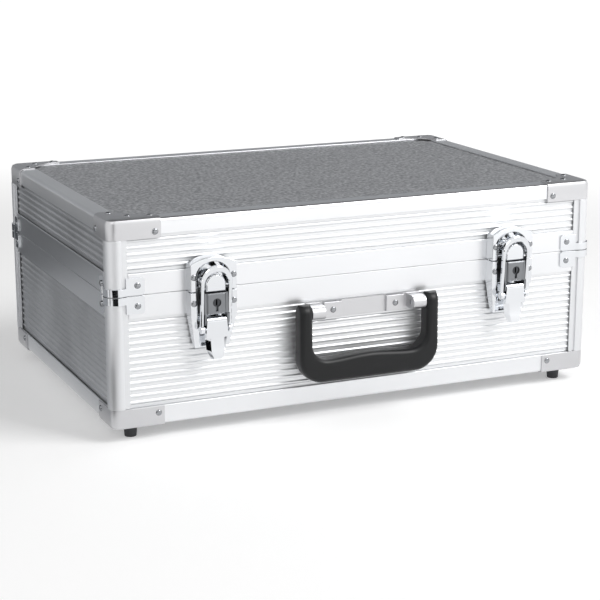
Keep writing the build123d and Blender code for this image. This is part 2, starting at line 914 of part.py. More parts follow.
latches = {"left": -latch_offset, "right": latch_offset}
for side, latch_x in latches.items():
    with BuildPart() as latch_channel:
        latch_base(latch_x)
    keep(latch_channel, "latch_base_" + side)

    with BuildPart() as strike:
        strike_hood(latch_x)
    keep(strike, "strike_hood_" + side)

    with BuildPart() as housing:
        lock_housing(latch_x)
    keep(housing, "lock_housing_" + side)

    with BuildPart() as plug:
        lock_plug(latch_x)
    keep(plug, "lock_plug_" + side)

    with BuildPart() as latch_lever:
        lever(latch_x)
    keep(latch_lever, "lever_" + side)

    with BuildPart() as latch_bail:
        bail(latch_x)
    keep(latch_bail, "bail_" + side)

    with BuildPart() as bail_pin:
        rod(
            latch_x - bail_half_width,
            latch_x + bail_half_width,
            bail_pin_depth,
            -bail_pin_drop,
            bail_pin_radius,
        )
    keep(bail_pin, "bail_pin_" + side)

with BuildPart() as lever_pins:
    for latch_x in latches.values():
        rod(
            latch_x - housing_half_width,
            latch_x + housing_half_width,
            lever_pivot_depth,
            -lever_pivot_drop,
            lever_pin_radius,
        )
keep(lever_pins, "lever_pins")


# Handle bracket, pins and grip

rib_crest = -(skin + slot_slack)
arm_inner = grip_half_width - grip_arm_width
lug_end = arm_inner - moving_gap
lug_start = lug_end - lug_width

with BuildPart() as handle_bracket:
    block(
        front_plane(0, rib_crest),
        (-lug_end, lug_end),
        (-plate_bottom_drop, -plate_top_drop),
        plate_thickness,
    )
    for start, end in ((-pad_outer, -pad_inner), (pad_inner, pad_outer)):
        with BuildSketch(front_plane(0, rib_crest + plate_thickness)):
            with Locations(((start + end) / 2, -plate_bottom_drop)):
                Rectangle(end - start, plate_bottom_drop - plate_top_drop, align=low_middle)
        extrude(amount=pad_proud, taper=degrees(asin(pad_slope / (2 * pad_proud))) / 2)
    for start, end in ((-lug_end, -lug_start), (lug_start, lug_end)):
        block(
            front_plane(0, rib_crest),
            (start, end),
            (-handle_pivot_drop - lug_radius, -handle_pivot_drop + lug_radius),
            grip_pivot_depth - rib_crest,
        )
        rod(start, end, grip_pivot_depth, -handle_pivot_drop, lug_radius)
    pin_bore = handle_pin_radius + pin_seat
    rod(-lug_end, lug_end, grip_pivot_depth, -handle_pivot_drop, pin_bore, Mode.SUBTRACT)
keep(handle_bracket, "handle_bracket")

with BuildPart() as handle_pins:
    pin_out = arm_inner + handle_pin_bite
    for start, end in ((-pin_out, -lug_start), (lug_start, pin_out)):
        rod(start, end, grip_pivot_depth, -handle_pivot_drop, handle_pin_radius)
keep(handle_pins, "handle_pins")

with BuildPart() as handle_grip:
    grip_top = -handle_pivot_drop + grip_thickness / 2
    arm_end = grip_top + grip_arm_overrun
    trim_length = grip_top + grip_drop + grip_thickness
    inner_bottom = -grip_drop + grip_bar_height
    right_arc_start = (arm_inner, inner_bottom + grip_inner_radius)
    left_arc_end = (-arm_inner, inner_bottom + grip_inner_radius)
    wave_end = arm_inner - grip_inner_radius
    with BuildSketch(front_plane(0, grip_back_gap)):
        with Locations((0, -grip_drop)):
            Rectangle(2 * grip_half_width, grip_drop + arm_end, align=low_middle)
        fillet(vertices().group_by(Axis.Y)[0], radius=grip_outer_radius)
        with BuildLine():
            Polyline(left_arc_end, (-arm_inner, arm_end), (arm_inner, arm_end), right_arc_start)
            RadiusArc(right_arc_start, (wave_end, inner_bottom), grip_inner_radius)
            Spline(
                (wave_end, inner_bottom),
                (0, inner_bottom + grip_wave),
                (-wave_end, inner_bottom),
                tangents=[(-1, 0), (-1, 0)],
            )
            RadiusArc((-wave_end, inner_bottom), left_arc_end, grip_inner_radius)
        make_face(mode=Mode.SUBTRACT)
    extrude(amount=grip_thickness)
    flat_faces = faces().filter_by(Axis.Y).group_by(Axis.Y)
    rim_edges = (flat_faces[0] + flat_faces[-1]).edges()
    arm_top_z = parting_z + arm_end
    chamfer(
        rim_edges.filter_by(lambda edge: edge.center().Z < arm_top_z - running_fit),
        length=grip_edge_chamfer,
    )
    with BuildSketch(across_plane(0)):
        with Locations((grip_pivot_depth, grip_top - trim_length / 2)):
            SlotOverall(trim_length, grip_thickness, rotation=90)
    extrude(amount=grip_half_width, both=True, mode=Mode.INTERSECT)
    for bore_start, bore_end in ((-pin_out - moving_gap, -arm_inner), (arm_inner, pin_out + moving_gap)):
        rod(
            bore_start,
            bore_end,
            grip_pivot_depth,
            -handle_pivot_drop,
            handle_pin_radius + running_fit,
            Mode.SUBTRACT,
        )
keep(handle_grip, "handle_grip")


# Rear hinges


def hinge_leaf(x, direction, knuckles, cut_knuckles):
    """A leaf that grows up or down from the parting line, with its knuckles and the other's room."""
    edge_gap = parting_gap + seat_gap if direction > 0 else seat_gap
    heights = sorted((direction * edge_gap, direction * (edge_gap + leaf_height)))
    block(rear_plane(x, 0), (-leaf_length / 2, leaf_length / 2), heights, leaf_thickness)
    clear = knuckle_radius + 2 * moving_gap
    for start, end in cut_knuckles:
        block(
            rear_plane(x, 0),
            (start - moving_gap, end + moving_gap),
            (-clear, clear),
            leaf_thickness,
            Mode.SUBTRACT,
        )
    for start, end in knuckles:
        axis = Plane(
            origin=(x + start, rear_y + hinge_axis_depth, parting_z), x_dir=(0, 1, 0), z_dir=(1, 0, 0)
        )
        with BuildSketch(axis) as outline:
            Circle(knuckle_radius)
        extrude(outline.sketch, amount=end - start)


def hinge_rod(x, radius, mode=Mode.ADD):
    """The hinge pin, or its bore through the knuckles."""
    axis = Plane(
        origin=(x - leaf_length / 2, rear_y + hinge_axis_depth, parting_z),
        x_dir=(0, 1, 0),
        z_dir=(1, 0, 0),
    )
    with BuildSketch(axis) as outline:
        Circle(radius)
    extrude(outline.sketch, amount=leaf_length, mode=mode)


lid_knuckle = [(-lid_knuckle_length / 2, lid_knuckle_length / 2)]
outer_start = lid_knuckle_length / 2 + moving_gap
base_knuckles = [(-leaf_length / 2, -outer_start), (outer_start, leaf_length / 2)]
hinges = {"left": -hinge_offset, "right": hinge_offset}
for side, hinge_x in hinges.items():
    with BuildPart() as base_leaf:
        hinge_leaf(hinge_x, -1, base_knuckles, lid_knuckle)
        hinge_rod(hinge_x, hinge_pin_radius + pin_seat, Mode.SUBTRACT)
    keep(base_leaf, "hinge_base_leaf_" + side)

    with BuildPart() as lid_leaf:
        hinge_leaf(hinge_x, 1, lid_knuckle, base_knuckles)
        hinge_rod(hinge_x, hinge_pin_radius + running_fit, Mode.SUBTRACT)
    keep(lid_leaf, "hinge_lid_leaf_" + side)

with BuildPart() as hinge_pins:
    for hinge_x in hinges.values():
        hinge_rod(hinge_x, hinge_pin_radius)
keep(hinge_pins, "hinge_pins")


# Rivets


def corner_rivets(flat_z, flat_normal, flat_rivets, cap_rivet_z, bracket_rivet_z):
    """The rivets of one cap and one bracket at the front left corner."""
    cap_face = cap_thickness
    bracket_face = bracket_seat + bracket_thickness
    rivet((-half_width + cap_rivet_along, front_y - cap_face, cap_rivet_z), (0, -1, 0))
    rivet((-half_width - cap_face, front_y + cap_side_rivet_along, cap_rivet_z), (-1, 0, 0))
    for along_x, along_y in flat_rivets:
        rivet((-half_width + along_x, front_y + along_y, flat_z), flat_normal)
    rivet((-half_width + bracket_rivet_along, front_y - bracket_face, bracket_rivet_z), (0, -1, 0))
    side_along = bracket_side_rivet_along
    rivet((-half_width - bracket_face, front_y + side_along, bracket_rivet_z), (-1, 0, 0))


with BuildPart() as lid_rivets:
    corner_rivets(
        lid_top_z + cap_thickness,
        (0, 0, 1),
        cap_flat_rivets,
        lid_top_z - cap_rivet_drop,
        lid_bottom_z + bracket_rivet_rise,
    )
    to_four_corners()
    for latch_x in latches.values():
        for offset_x in (-latch_rivet_along, latch_rivet_along):
            rivet(
                (latch_x + offset_x, front_y - latch_depth, parting_z + hood_rivet_rise), (0, -1, 0)
            )
    for hinge_x in hinges.values():
        for offset_x in (-leaf_rivet_pitch, 0, leaf_rivet_pitch):
            rivet(
                (hinge_x + offset_x, rear_y + leaf_thickness, parting_z + leaf_rivet_rise), (0, 1, 0)
            )
keep(lid_rivets, "lid_rivets")

with BuildPart() as base_rivets:
    corner_rivets(
        base_floor_z - cap_thickness,
        (0, 0, -1),
        cap_flat_rivets[:2],
        base_floor_z + cap_rivet_drop,
        parting_z - bracket_rivet_rise,
    )
    to_four_corners()
    for latch_x in latches.values():
        for offset_x in (-latch_rivet_along, latch_rivet_along):
            rivet(
                (latch_x + offset_x, front_y - latch_depth, parting_z - channel_rivet_drop),
                (0, -1, 0),
            )
    for hinge_x in hinges.values():
        for offset_x in (-leaf_rivet_pitch, 0, leaf_rivet_pitch):
            rivet(
                (hinge_x + offset_x, rear_y + leaf_thickness, parting_z - leaf_rivet_rise), (0, 1, 0)
            )
    pad_middle = (pad_inner + pad_outer) / 2
    pad_face = rib_crest + plate_thickness + pad_proud
    for offset_x in (-pad_middle, pad_middle):
        rivet(
            (offset_x, front_y - pad_face, parting_z - (plate_top_drop + plate_bottom_drop) / 2),
            (0, -1, 0),
        )
keep(base_rivets, "base_rivets")


# Soft lining and dividers

lining_outer = frame_depth + moving_gap
lining_inner = lining_outer + lining_thickness
lining_floor_z = base_floor_z + frame_depth + moving_gap
with BuildPart() as wall_lining:
    with BuildSketch(level_plane(lining_floor_z)):
        Rectangle(case_width - 2 * lining_outer, case_depth - 2 * lining_outer)
        Rectangle(
            case_width - 2 * lining_inner, case_depth - 2 * lining_inner, mode=Mode.SUBTRACT
        )
    extrude(amount=parting_z - lining_drop - lining_floor_z)
keep(wall_lining, "wall_lining")

pad_inset = lining_inner + moving_gap
with BuildPart() as floor_pad:
    with BuildSketch(level_plane(lining_floor_z)):
        Rectangle(case_width - 2 * pad_inset, case_depth - 2 * pad_inset)
    extrude(amount=pad_thickness)
keep(floor_pad, "floor_pad")

divider_low_z = lining_floor_z + pad_thickness + moving_gap
divider_height = parting_z - divider_drop - divider_low_z
with BuildPart() as long_divider:
    with BuildSketch(level_plane(divider_low_z)):
        Rectangle(case_width - 2 * pad_inset, divider_thickness)
    extrude(amount=divider_height)
keep(long_divider, "long_divider")

cell_pitch = (case_width - 2 * pad_inset + divider_thickness) / cell_columns
cross_start = divider_thickness / 2 + moving_gap
cross_length = case_depth / 2 - pad_inset - cross_start
with BuildPart() as cross_dividers:
    with BuildSketch(level_plane(divider_low_z)):
        for column in range(1, cell_columns):
            divider_x = (column - cell_columns / 2) * cell_pitch
            with Locations((divider_x, cross_start)):
                Rectangle(divider_thickness, cross_length, align=low_middle)
            with Locations((divider_x, -cross_start)):
                Rectangle(divider_thickness, cross_length, align=high_middle)
    extrude(amount=divider_height)
keep(cross_dividers, "cross_dividers")

lid_pad_top_z = lid_top_z - frame_depth - moving_gap
with BuildPart() as lid_pad:
    with BuildSketch(level_plane(lid_pad_top_z)):
        Rectangle(case_width - 2 * lining_outer, case_depth - 2 * lining_outer)
    extrude(amount=-lid_pad_thickness)
keep(lid_pad, "lid_pad")
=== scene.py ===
"""The looks of the aluminium camera case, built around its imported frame.

Every length is in metres, in the frame of the CAD model. Sizes given as fields in
millimetres are turned to metres where they are used.
"""

import logging
import math
from dataclasses import dataclass, field, replace
from enum import Enum
from itertools import product
from typing import Any, Optional

import bmesh
import bpy
from mathutils import Matrix, Vector, noise
from mathutils.bvhtree import BVHTree


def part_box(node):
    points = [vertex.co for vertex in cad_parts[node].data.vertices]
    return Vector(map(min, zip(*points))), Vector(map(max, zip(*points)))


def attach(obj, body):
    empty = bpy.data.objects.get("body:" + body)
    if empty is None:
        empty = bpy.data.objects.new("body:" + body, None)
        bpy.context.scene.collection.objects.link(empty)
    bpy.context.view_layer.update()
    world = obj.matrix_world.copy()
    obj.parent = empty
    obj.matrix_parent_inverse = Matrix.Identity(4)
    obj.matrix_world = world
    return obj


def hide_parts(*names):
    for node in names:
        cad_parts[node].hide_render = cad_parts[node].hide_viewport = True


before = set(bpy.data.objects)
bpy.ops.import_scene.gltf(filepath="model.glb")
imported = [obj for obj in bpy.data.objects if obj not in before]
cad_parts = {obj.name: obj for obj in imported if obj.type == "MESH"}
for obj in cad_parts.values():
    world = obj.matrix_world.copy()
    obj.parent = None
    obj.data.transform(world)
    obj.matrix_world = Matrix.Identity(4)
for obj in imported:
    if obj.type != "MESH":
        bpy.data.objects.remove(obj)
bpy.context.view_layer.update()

Triple = tuple[float, float, float]

MM = 0.001
LOG = logging.getLogger("camera_case")
# The signs of the four corners of a section or outline, taken round from the first.
QUARTERS = ((1, 1), (-1, 1), (-1, -1), (1, -1))


class Body(Enum):
    """The bodies that carry the scene's own pieces."""

    BASE = "base"
    LID = "lid"
    HANDLE = "handle"
    LEVER_LEFT = "lever_left"
    LEVER_RIGHT = "lever_right"
    BAIL_LEFT = "bail_left"
    BAIL_RIGHT = "bail_right"


def linear(hex_code: str) -> tuple[float, float, float, float]:
    """Turn an sRGB hex colour to linear red, green, blue and alpha.

    Args:
        hex_code: Six hex digits after a hash sign.

    Returns:
        The linear colour with an alpha of 1.
    """
    parts = [int(hex_code[i : i + 2], 16) / 255 for i in (1, 3, 5)]
    red, green, blue = (
        c / 12.92 if c <= 0.04045 else ((c + 0.055) / 1.055) ** 2.4 for c in parts
    )
    return red, green, blue, 1.0


def feed(tree: bpy.types.NodeTree, node: bpy.types.Node, inputs: dict) -> None:
    """Set or link a node's inputs.

    Args:
        tree: The tree that holds the node.
        node: The node.
        inputs: What each input gets, by name or index: a value, a socket, a node for its
            first output in use, or a sum as a tuple of its operation and its terms.
    """
    for key, value in inputs.items():
        if isinstance(value, tuple) and isinstance(value[0], str):
            value = add(tree, "ShaderNodeMath", dict(enumerate(value[1:])), operation=value[0])
        if isinstance(value, bpy.types.Node):
            value = next(output for output in value.outputs if output.enabled)
        if isinstance(value, bpy.types.NodeSocket):
            tree.links.new(value, node.inputs[key])
        else:
            node.inputs[key].default_value = value


def add(tree: bpy.types.NodeTree, kind: str, inputs: Optional[dict] = None, **settings: Any):
    """Add one node to a tree with its settings and links.

    Args:
        tree: The node tree that gets the node.
        kind: The node's type name.
        inputs: What the node's inputs get.
        **settings: Properties of the node itself.

    Returns:
        The new node.
    """
    node = tree.nodes.new(kind)
    for name, value in settings.items():
        setattr(node, name, value)
    feed(tree, node, inputs or {})
    return node


def cleared(owner: Any) -> bpy.types.NodeTree:
    """Turn on the nodes of a material or world, and return its emptied tree."""
    owner.use_nodes = True
    owner.node_tree.nodes.clear()
    return owner.node_tree


# Finishes


@dataclass
class Look:
    """What varies over a surface, as nodes that give 0 to 1, and how far each one goes.

    The gloss node runs the roughness from smoother to rougher than the finish's own, and
    the tone node runs the colour from low to high.
    """

    height: Any
    depth_mm: float
    strength: float
    gloss: Any = None
    smoother: float = 0.0
    rougher: float = 0.0
    tone: Any = None
    low: str = ""
    high: str = ""
    extra: dict[str, float] = field(default_factory=dict)


@dataclass(frozen=True)
class Finish:
    """A surface of the case: its material's name, colour and gloss."""

    title: str
    colour: str
    metallic: float
    roughness: float

    def material(self) -> bpy.types.Material:
        """Make the material once, and hand out the same one after that."""
        made = bpy.data.materials.get(self.title)
        if made is not None:
            return made
        made = bpy.data.materials.new(self.title)
        made.diffuse_color = linear(self.colour)
        tree = cleared(made)
        look = self.look(tree, add(tree, "ShaderNodeTexCoord").outputs["Object"])
        colour = linear(self.colour)
        plain = {"Base Color": colour, "Metallic": self.metallic, "Roughness": self.roughness}
        shader = add(tree, "ShaderNodeBsdfPrincipled", plain | look.extra)
        deep = look.depth_mm * MM
        relief = {"Height": look.height, "Distance": deep, "Strength": look.strength}
        feed(tree, shader, {"Normal": add(tree, "ShaderNodeBump", relief)})
        if look.gloss is not None:
            ends = {
                "Value": look.gloss,
                "To Min": max(0.02, self.roughness - look.smoother),
                "To Max": self.roughness + look.rougher,
            }
            feed(tree, shader, {"Roughness": add(tree, "ShaderNodeMapRange", ends)})
        if look.tone is not None:
            mix = {0: look.tone, 6: linear(look.low), 7: linear(look.high)}
            tone = add(tree, "ShaderNodeMix", mix, data_type="RGBA").outputs[2]
            feed(tree, shader, {"Base Color": tone})
        add(tree, "ShaderNodeOutputMaterial", {"Surface": shader})
        return made

    def look(self, tree: bpy.types.NodeTree, place: bpy.types.NodeSocket) -> Look:
        """Return what varies over the surface. Each kind of finish says what."""
        raise NotImplementedError(self.title)


@dataclass(frozen=True)
class DrawnAluminium(Finish):
    """Mill aluminium drawn or rolled along one axis, whose fine lines stretch its gloss."""

    dark: str = "#e4e5e7"
    along: Triple = (6.0, 1200.0, 1200.0)

    def look(self, tree, place) -> Look:
        """Fine draw lines, 0.8 mm apart so that they show, and wide soft tarnish."""
        run = add(tree, "ShaderNodeMapping", {"Vector": place, "Scale": self.along})
        fine = {"Vector": run, "Scale": 1.0, "Detail": 3.0, "Roughness": 0.6}
        lines = add(tree, "ShaderNodeTexNoise", fine)
        wide = {"Vector": place, "Scale": 14.0, "Detail": 2.0}
        tarnish = add(tree, "ShaderNodeTexNoise", wide)
        relief = Look(height=lines, depth_mm=0.04, strength=0.35)
        gloss = {"gloss": lines, "smoother": 0.06, "rougher": 0.08}
        return replace(relief, tone=tarnish, low=self.dark, high=self.colour, **gloss)


@dataclass(frozen=True)
class HammeredSheet(Finish):
    """Grey laminate on board, embossed with a hammered grain that sparkles softly, with painted
    highlights on its raised mottle.
    """

    # The light colour is the painted highlight on the grain's raised mottle.
    light: str = "#cfd0d2"
    grain_mm: float = 2.2

    def look(self, tree, place) -> Look:
        """Pebbles about 2 mm wide, coarser than real so that they show, with finer pits."""
        coarse = {"Vector": place, "Scale": 1000 / self.grain_mm, "Randomness": 0.9}
        pebbles = add(tree, "ShaderNodeTexVoronoi", coarse, feature="SMOOTH_F1")
        fine = {"Vector": place, "Scale": 850 / self.grain_mm, "Detail": 4.0, "Roughness": 0.6}
        mottle = add(tree, "ShaderNodeTexNoise", fine)
        # The colour runs lighter on the mottle's raised spots: painted highlight on the grain.
        ends = {"Value": mottle, "From Min": 0.36, "From Max": 0.64}
        peaks = add(tree, "ShaderNodeMapRange", ends)
        relief = Look(height=("ADD", pebbles, mottle), depth_mm=0.3, strength=0.5)
        gloss = {"gloss": mottle, "smoother": 0.08, "rougher": 0.1}
        return replace(relief, tone=peaks, low=self.colour, high=self.light, **gloss)


@dataclass(frozen=True)
class PlatedMetal(Finish):
    """Plated steel or zinc, with the slight cloudiness and wipe marks of handled parts."""

    cloud: float = 0.05
    grain: float = 90.0
    wave_mm: float = 0.08

    def look(self, tree, place) -> Look:
        """Wide clouds in the gloss and a nearly flat waviness of the pressed sheet."""
        wide = {"Vector": place, "Scale": self.grain, "Detail": 3.0, "Roughness": 0.55}
        clouds = add(tree, "ShaderNodeTexNoise", wide)
        relief = Look(height=clouds, depth_mm=self.wave_mm, strength=0.25)
        return replace(relief, gloss=clouds, smoother=self.cloud, rougher=self.cloud)


@dataclass(frozen=True)
class MouldedPlastic(Finish):
    """Moulded polypropylene or rubber, with spark-eroded grain from its mould."""

    light: str
    grain_mm: float = 0.5
    depth_mm: float = 0.06
    ior: float = 1.42

    def look(self, tree, place) -> Look:
        """A fine leather-like grain that breaks the highlight."""
        fine = {"Vector": place, "Scale": 1000 / self.grain_mm, "Detail": 2.0, "Roughness": 0.5}
        grain = add(tree, "ShaderNodeTexNoise", fine)
        wear = add(tree, "ShaderNodeTexNoise", {"Vector": place, "Scale": 40.0, "Detail": 3.0})
        extra = {"IOR": self.ior}
        relief = Look(height=grain, depth_mm=self.depth_mm, strength=0.6, extra=extra)
        gloss = {"gloss": wear, "smoother": 0.05, "rougher": 0.1}
        return replace(relief, tone=wear, low=self.colour, high=self.light, **gloss)


@dataclass(frozen=True)
class BrushedCloth(Finish):
    """Loop-faced knit on foam, matt, with short fibres that catch light at the rim."""

    light: str = "#33343a"
    loop_mm: float = 0.9

    def look(self, tree, place) -> Look:
        """Loops 0.9 mm apart, coarser than real so that they show, and a soft nap."""
        coarse = {"Vector": place, "Scale": 1000 / self.loop_mm, "Randomness": 0.55}
        loops = add(tree, "ShaderNodeTexVoronoi", coarse)
        fine = {"Vector": place, "Scale": 180.0, "Detail": 4.0, "Roughness": 0.6}
        nap = add(tree, "ShaderNodeTexNoise", fine)
        sheen = {"Sheen Weight": 0.25, "Sheen Roughness": 0.5}
        relief = Look(height=("SUBTRACT", nap, loops), depth_mm=0.3, strength=0.7, extra=sheen)
        return replace(relief, tone=nap, low=self.colour, high=self.light)


# Rolled aluminium sheet under clear anodising: bright, soft reflections along the ribs.
RIBBED_ALONG_X = DrawnAluminium("ribbed_aluminium_sheet", "#eeeff0", 1.0, 0.45)
# The side walls' copy is the same sheet painted much darker: painted shade on the side walls.
RIBBED_ALONG_Y_PAINTED_SHADE = DrawnAluminium(
    "ribbed_aluminium_sheet_side_painted_shade", "#abacae", 1.0, 0.38, along=(1200.0, 6.0, 1200.0)
)
# Satin anodised extrusion: a broad soft sheen with faint die lines.
# The three copies are one extrusion; their colours differ only to set how bright each reads in this
# light: painted light and shade.
FRAME_ALONG_X = DrawnAluminium("anodised_extrusion", "#edeef0", 1.0, 0.3)
FRAME_ALONG_Y = DrawnAluminium(
    "anodised_extrusion_side", "#f4f5f6", 1.0, 0.4, along=(1200.0, 6.0, 1200.0)
)
FRAME_ALONG_Z = DrawnAluminium(
    "anodised_extrusion_post", "#dfe0e2", 1.0, 0.48, along=(1200.0, 1200.0, 6.0)
)
HAMMERED = HammeredSheet("hammered_laminate", "#85868a", 0.6, 0.45)
# Satin nickel plate over drawn steel: bright, but its reflections are blurred.
NICKEL = PlatedMetal(
    "satin_nickel_plate", "#cfcfd1", 1.0, 0.4, cloud=0.04, grain=60.0, wave_mm=0.05
)
# Bright chrome plate: near mirror, black and white by what it reflects.
CHROME = PlatedMetal("bright_chrome_plate", "#e3e5e8", 1.0, 0.07, cloud=0.03)
POLISHED = PlatedMetal("polished_steel", "#dcdee1", 1.0, 0.1, cloud=0.03, grain=300.0)
# Nickel-plated rivet steel, painted a tone darker than the caps so that each head shows: painted
# shade that stands in for the dark reflections on the domes.
RIVET_PAINTED_SHADE = PlatedMetal("nickel_plated_rivet_painted_shade", "#9b9da0", 1.0, 0.14, cloud=0.03, grain=300.0)
# Die-cast zinc, plated without polishing: grey and satin.
ZINC = PlatedMetal("plated_zinc_casting", "#85878a", 1.0, 0.3, cloud=0.06)
# Turned brass, painted nearly black: painted shade of the plug sunk in its housing, with a soft
# glint on its rim.
LOCK_PLUG_PAINTED_SHADE = PlatedMetal("lock_plug_painted_shade", "#4a4b4e", 1.0, 0.25, cloud=0.05, grain=400.0)
RUBBER = MouldedPlastic("moulded_rubber", "#3d3e40", 0.0, 0.62, light="#57585a")
GRIP = MouldedPlastic("moulded_polypropylene", "#08090a", 0.0, 0.38, light="#101114")
FOAM = BrushedCloth("open_cell_foam", "#18191b", 0.0, 0.95, light="#2a2b2e", loop_mm=0.7)
CLOTH = BrushedCloth("brushed_loop_cloth", "#1c1d20", 0.0, 0.9)
THREAD = BrushedCloth("nylon_thread", "#35363b", 0.0, 0.6, light="#55565c", loop_mm=0.3)


# Meshes


def placed(title: str, data: Any) -> bpy.types.Object:
    """Put a mesh, a camera or a lamp in the scene as an object at the origin."""
    made = bpy.data.objects.new(title, data)
    bpy.context.scene.collection.objects.link(made)
    return made


def as_object(title: str, mesh: bpy.types.Mesh, finish: Finish) -> bpy.types.Object:
    """Put a mesh in the scene as an object at the origin, with one finish.

    Args:
        title: The object's name.
        mesh: Its mesh, already in place.
        finish: What its surface is.

    Returns:
        The new object.
    """
    made = placed(title, mesh)
    mesh.materials.clear()
    mesh.materials.append(finish.material())
    return made


def smooth(mesh: bpy.types.Mesh, sharp_from: float = 40.0) -> None:
    """Shade a mesh smooth, apart from edges sharper than an angle in degrees."""
    for polygon in mesh.polygons:
        polygon.use_smooth = True
    mesh.set_sharp_from_angle(angle=math.radians(sharp_from))


def merged_copy(node: str, title: str, finish: Finish) -> bpy.types.Object:
    """Copy a CAD node's loose triangles, and join them into clean flat faces.

    Args:
        node: The CAD node.
        title: The name of the copy.
        finish: Its finish.

    Returns:
        The new object, with sharp edges marked.
    """
    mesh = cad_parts[node].data.copy()
    shape = bmesh.new()
    shape.from_mesh(mesh)
    bmesh.ops.remove_doubles(shape, verts=shape.verts[:], dist=2e-6)
    bmesh.ops.dissolve_limit(
        shape,
        angle_limit=math.radians(0.6),
        verts=shape.verts[:],
        edges=shape.edges[:],
    )
    shape.to_mesh(mesh)
    shape.free()
    if "custom_normal" in mesh.attributes:
        mesh.attributes.remove(mesh.attributes["custom_normal"])
    smooth(mesh)
    return as_object(title, mesh, finish)


def soften(made: bpy.types.Object, width_mm: float, segments: int = 2) -> None:
    """Round an object's sharp edges a little, as real sheet and castings are."""
    bevel = made.modifiers.new("edge_round", "BEVEL")
    bevel.width = width_mm * MM
    bevel.segments = segments
    bevel.limit_method = "ANGLE"
    bevel.angle_limit = math.radians(42)
    bevel.use_clamp_overlap = True
    bevel.harden_normals = True


def fix_normals(mesh: bpy.types.Mesh) -> None:
    """Merge doubles and turn all faces outwards."""
    shape = bmesh.new()
    shape.from_mesh(mesh)
    bmesh.ops.remove_doubles(shape, verts=shape.verts[:], dist=1e-6)
    bmesh.ops.recalc_face_normals(shape, faces=shape.faces[:])
    shape.to_mesh(mesh)
    shape.free()


def skinned(
    title: str, rings: list[list[Vector]], finish: Finish, sharp_from: float, loop: bool = False
) -> bpy.types.Object:
    """Skin a row of rings into one closed mesh.

    Args:
        title: The name of the mesh and of its object.
        rings: The points of each ring, in mm, as many in each.
        finish: What the skin's surface is.
        sharp_from: The angle in degrees from which an edge is shaded sharp.
        loop: Whether the last ring joins the first. Without it both end in a face.

    Returns:
        The new object.
    """
    shape = bmesh.new()
    rows = [[shape.verts.new(point * MM) for point in ring] for ring in rings]
    for first, second in zip(rows, rows[1:] + rows[:1] if loop else rows[1:]):
        for i in range(len(first)):
            j = (i + 1) % len(first)
            shape.faces.new((first[i], first[j], second[j], second[i]))
    if not loop:
        shape.faces.new(rows[0])
        shape.faces.new(rows[-1])
    mesh = bpy.data.meshes.new(title)
    shape.to_mesh(mesh)
    shape.free()
    fix_normals(mesh)
    smooth(mesh, sharp_from)
    return as_object(title, mesh, finish)


def settle(made: bpy.types.Object, body: Body, slot: str, *nodes: str) -> None:
    """Let a finished piece ride on its body, and stand for its CAD nodes.

    Args:
        made: The piece.
        body: The body that carries it.
        slot: The record's material slot. It is not used.
        *nodes: The CAD nodes that it replaces.
    """
    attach(made, body.value)
    if nodes:
        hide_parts(*nodes)
    LOG.info("%s: %d faces on %s", made.name, len(made.data.polygons), body.value)


def dress(
    node: str, body: Body, slot: str, finish: Finish, round_mm: float, ending: str = "_finished"
) -> None:
    """Replace a CAD node by its copy with softened edges and a finish.

    Args:
        node: The CAD node.
        body: The body that carries it.
        slot: The record's material slot.
        finish: Its finish.
        round_mm: How much its edges are rounded.
        ending: What the copy's name adds to the node's.
    """
    made = merged_copy(node, node + ending, finish)
    soften(made, round_mm)
    settle(made, body, slot, node)


def paint_node(node: str, finish: Finish) -> None:
    """Give a CAD node that stays in view its material."""
    material = finish.material()
    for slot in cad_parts[node].material_slots:
        slot.material = material


def on_axis(axis: int, length: float) -> Vector:
    """Return a vector along one axis."""
    return Vector([length if k == axis else 0.0 for k in range(3)])


def box_of(node: str) -> tuple[Vector, Vector]:
    """Return a node's lowest and highest corners at rest, in mm."""
    low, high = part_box(node)
    return Vector(low) / MM, Vector(high) / MM


# Geometry Nodes


def dotted(title: str, places: list[Vector], name: str, vectors: list) -> bpy.types.Mesh:
    """Make a mesh of loose points in metres, each with one named vector."""
    points = bpy.data.meshes.new(title + "_points")
    points.from_pydata([tuple(place) for place in places], [], [])
    points.attributes.new(name, "FLOAT_VECTOR", "POINT").data.foreach_set("vector", vectors)
    return points


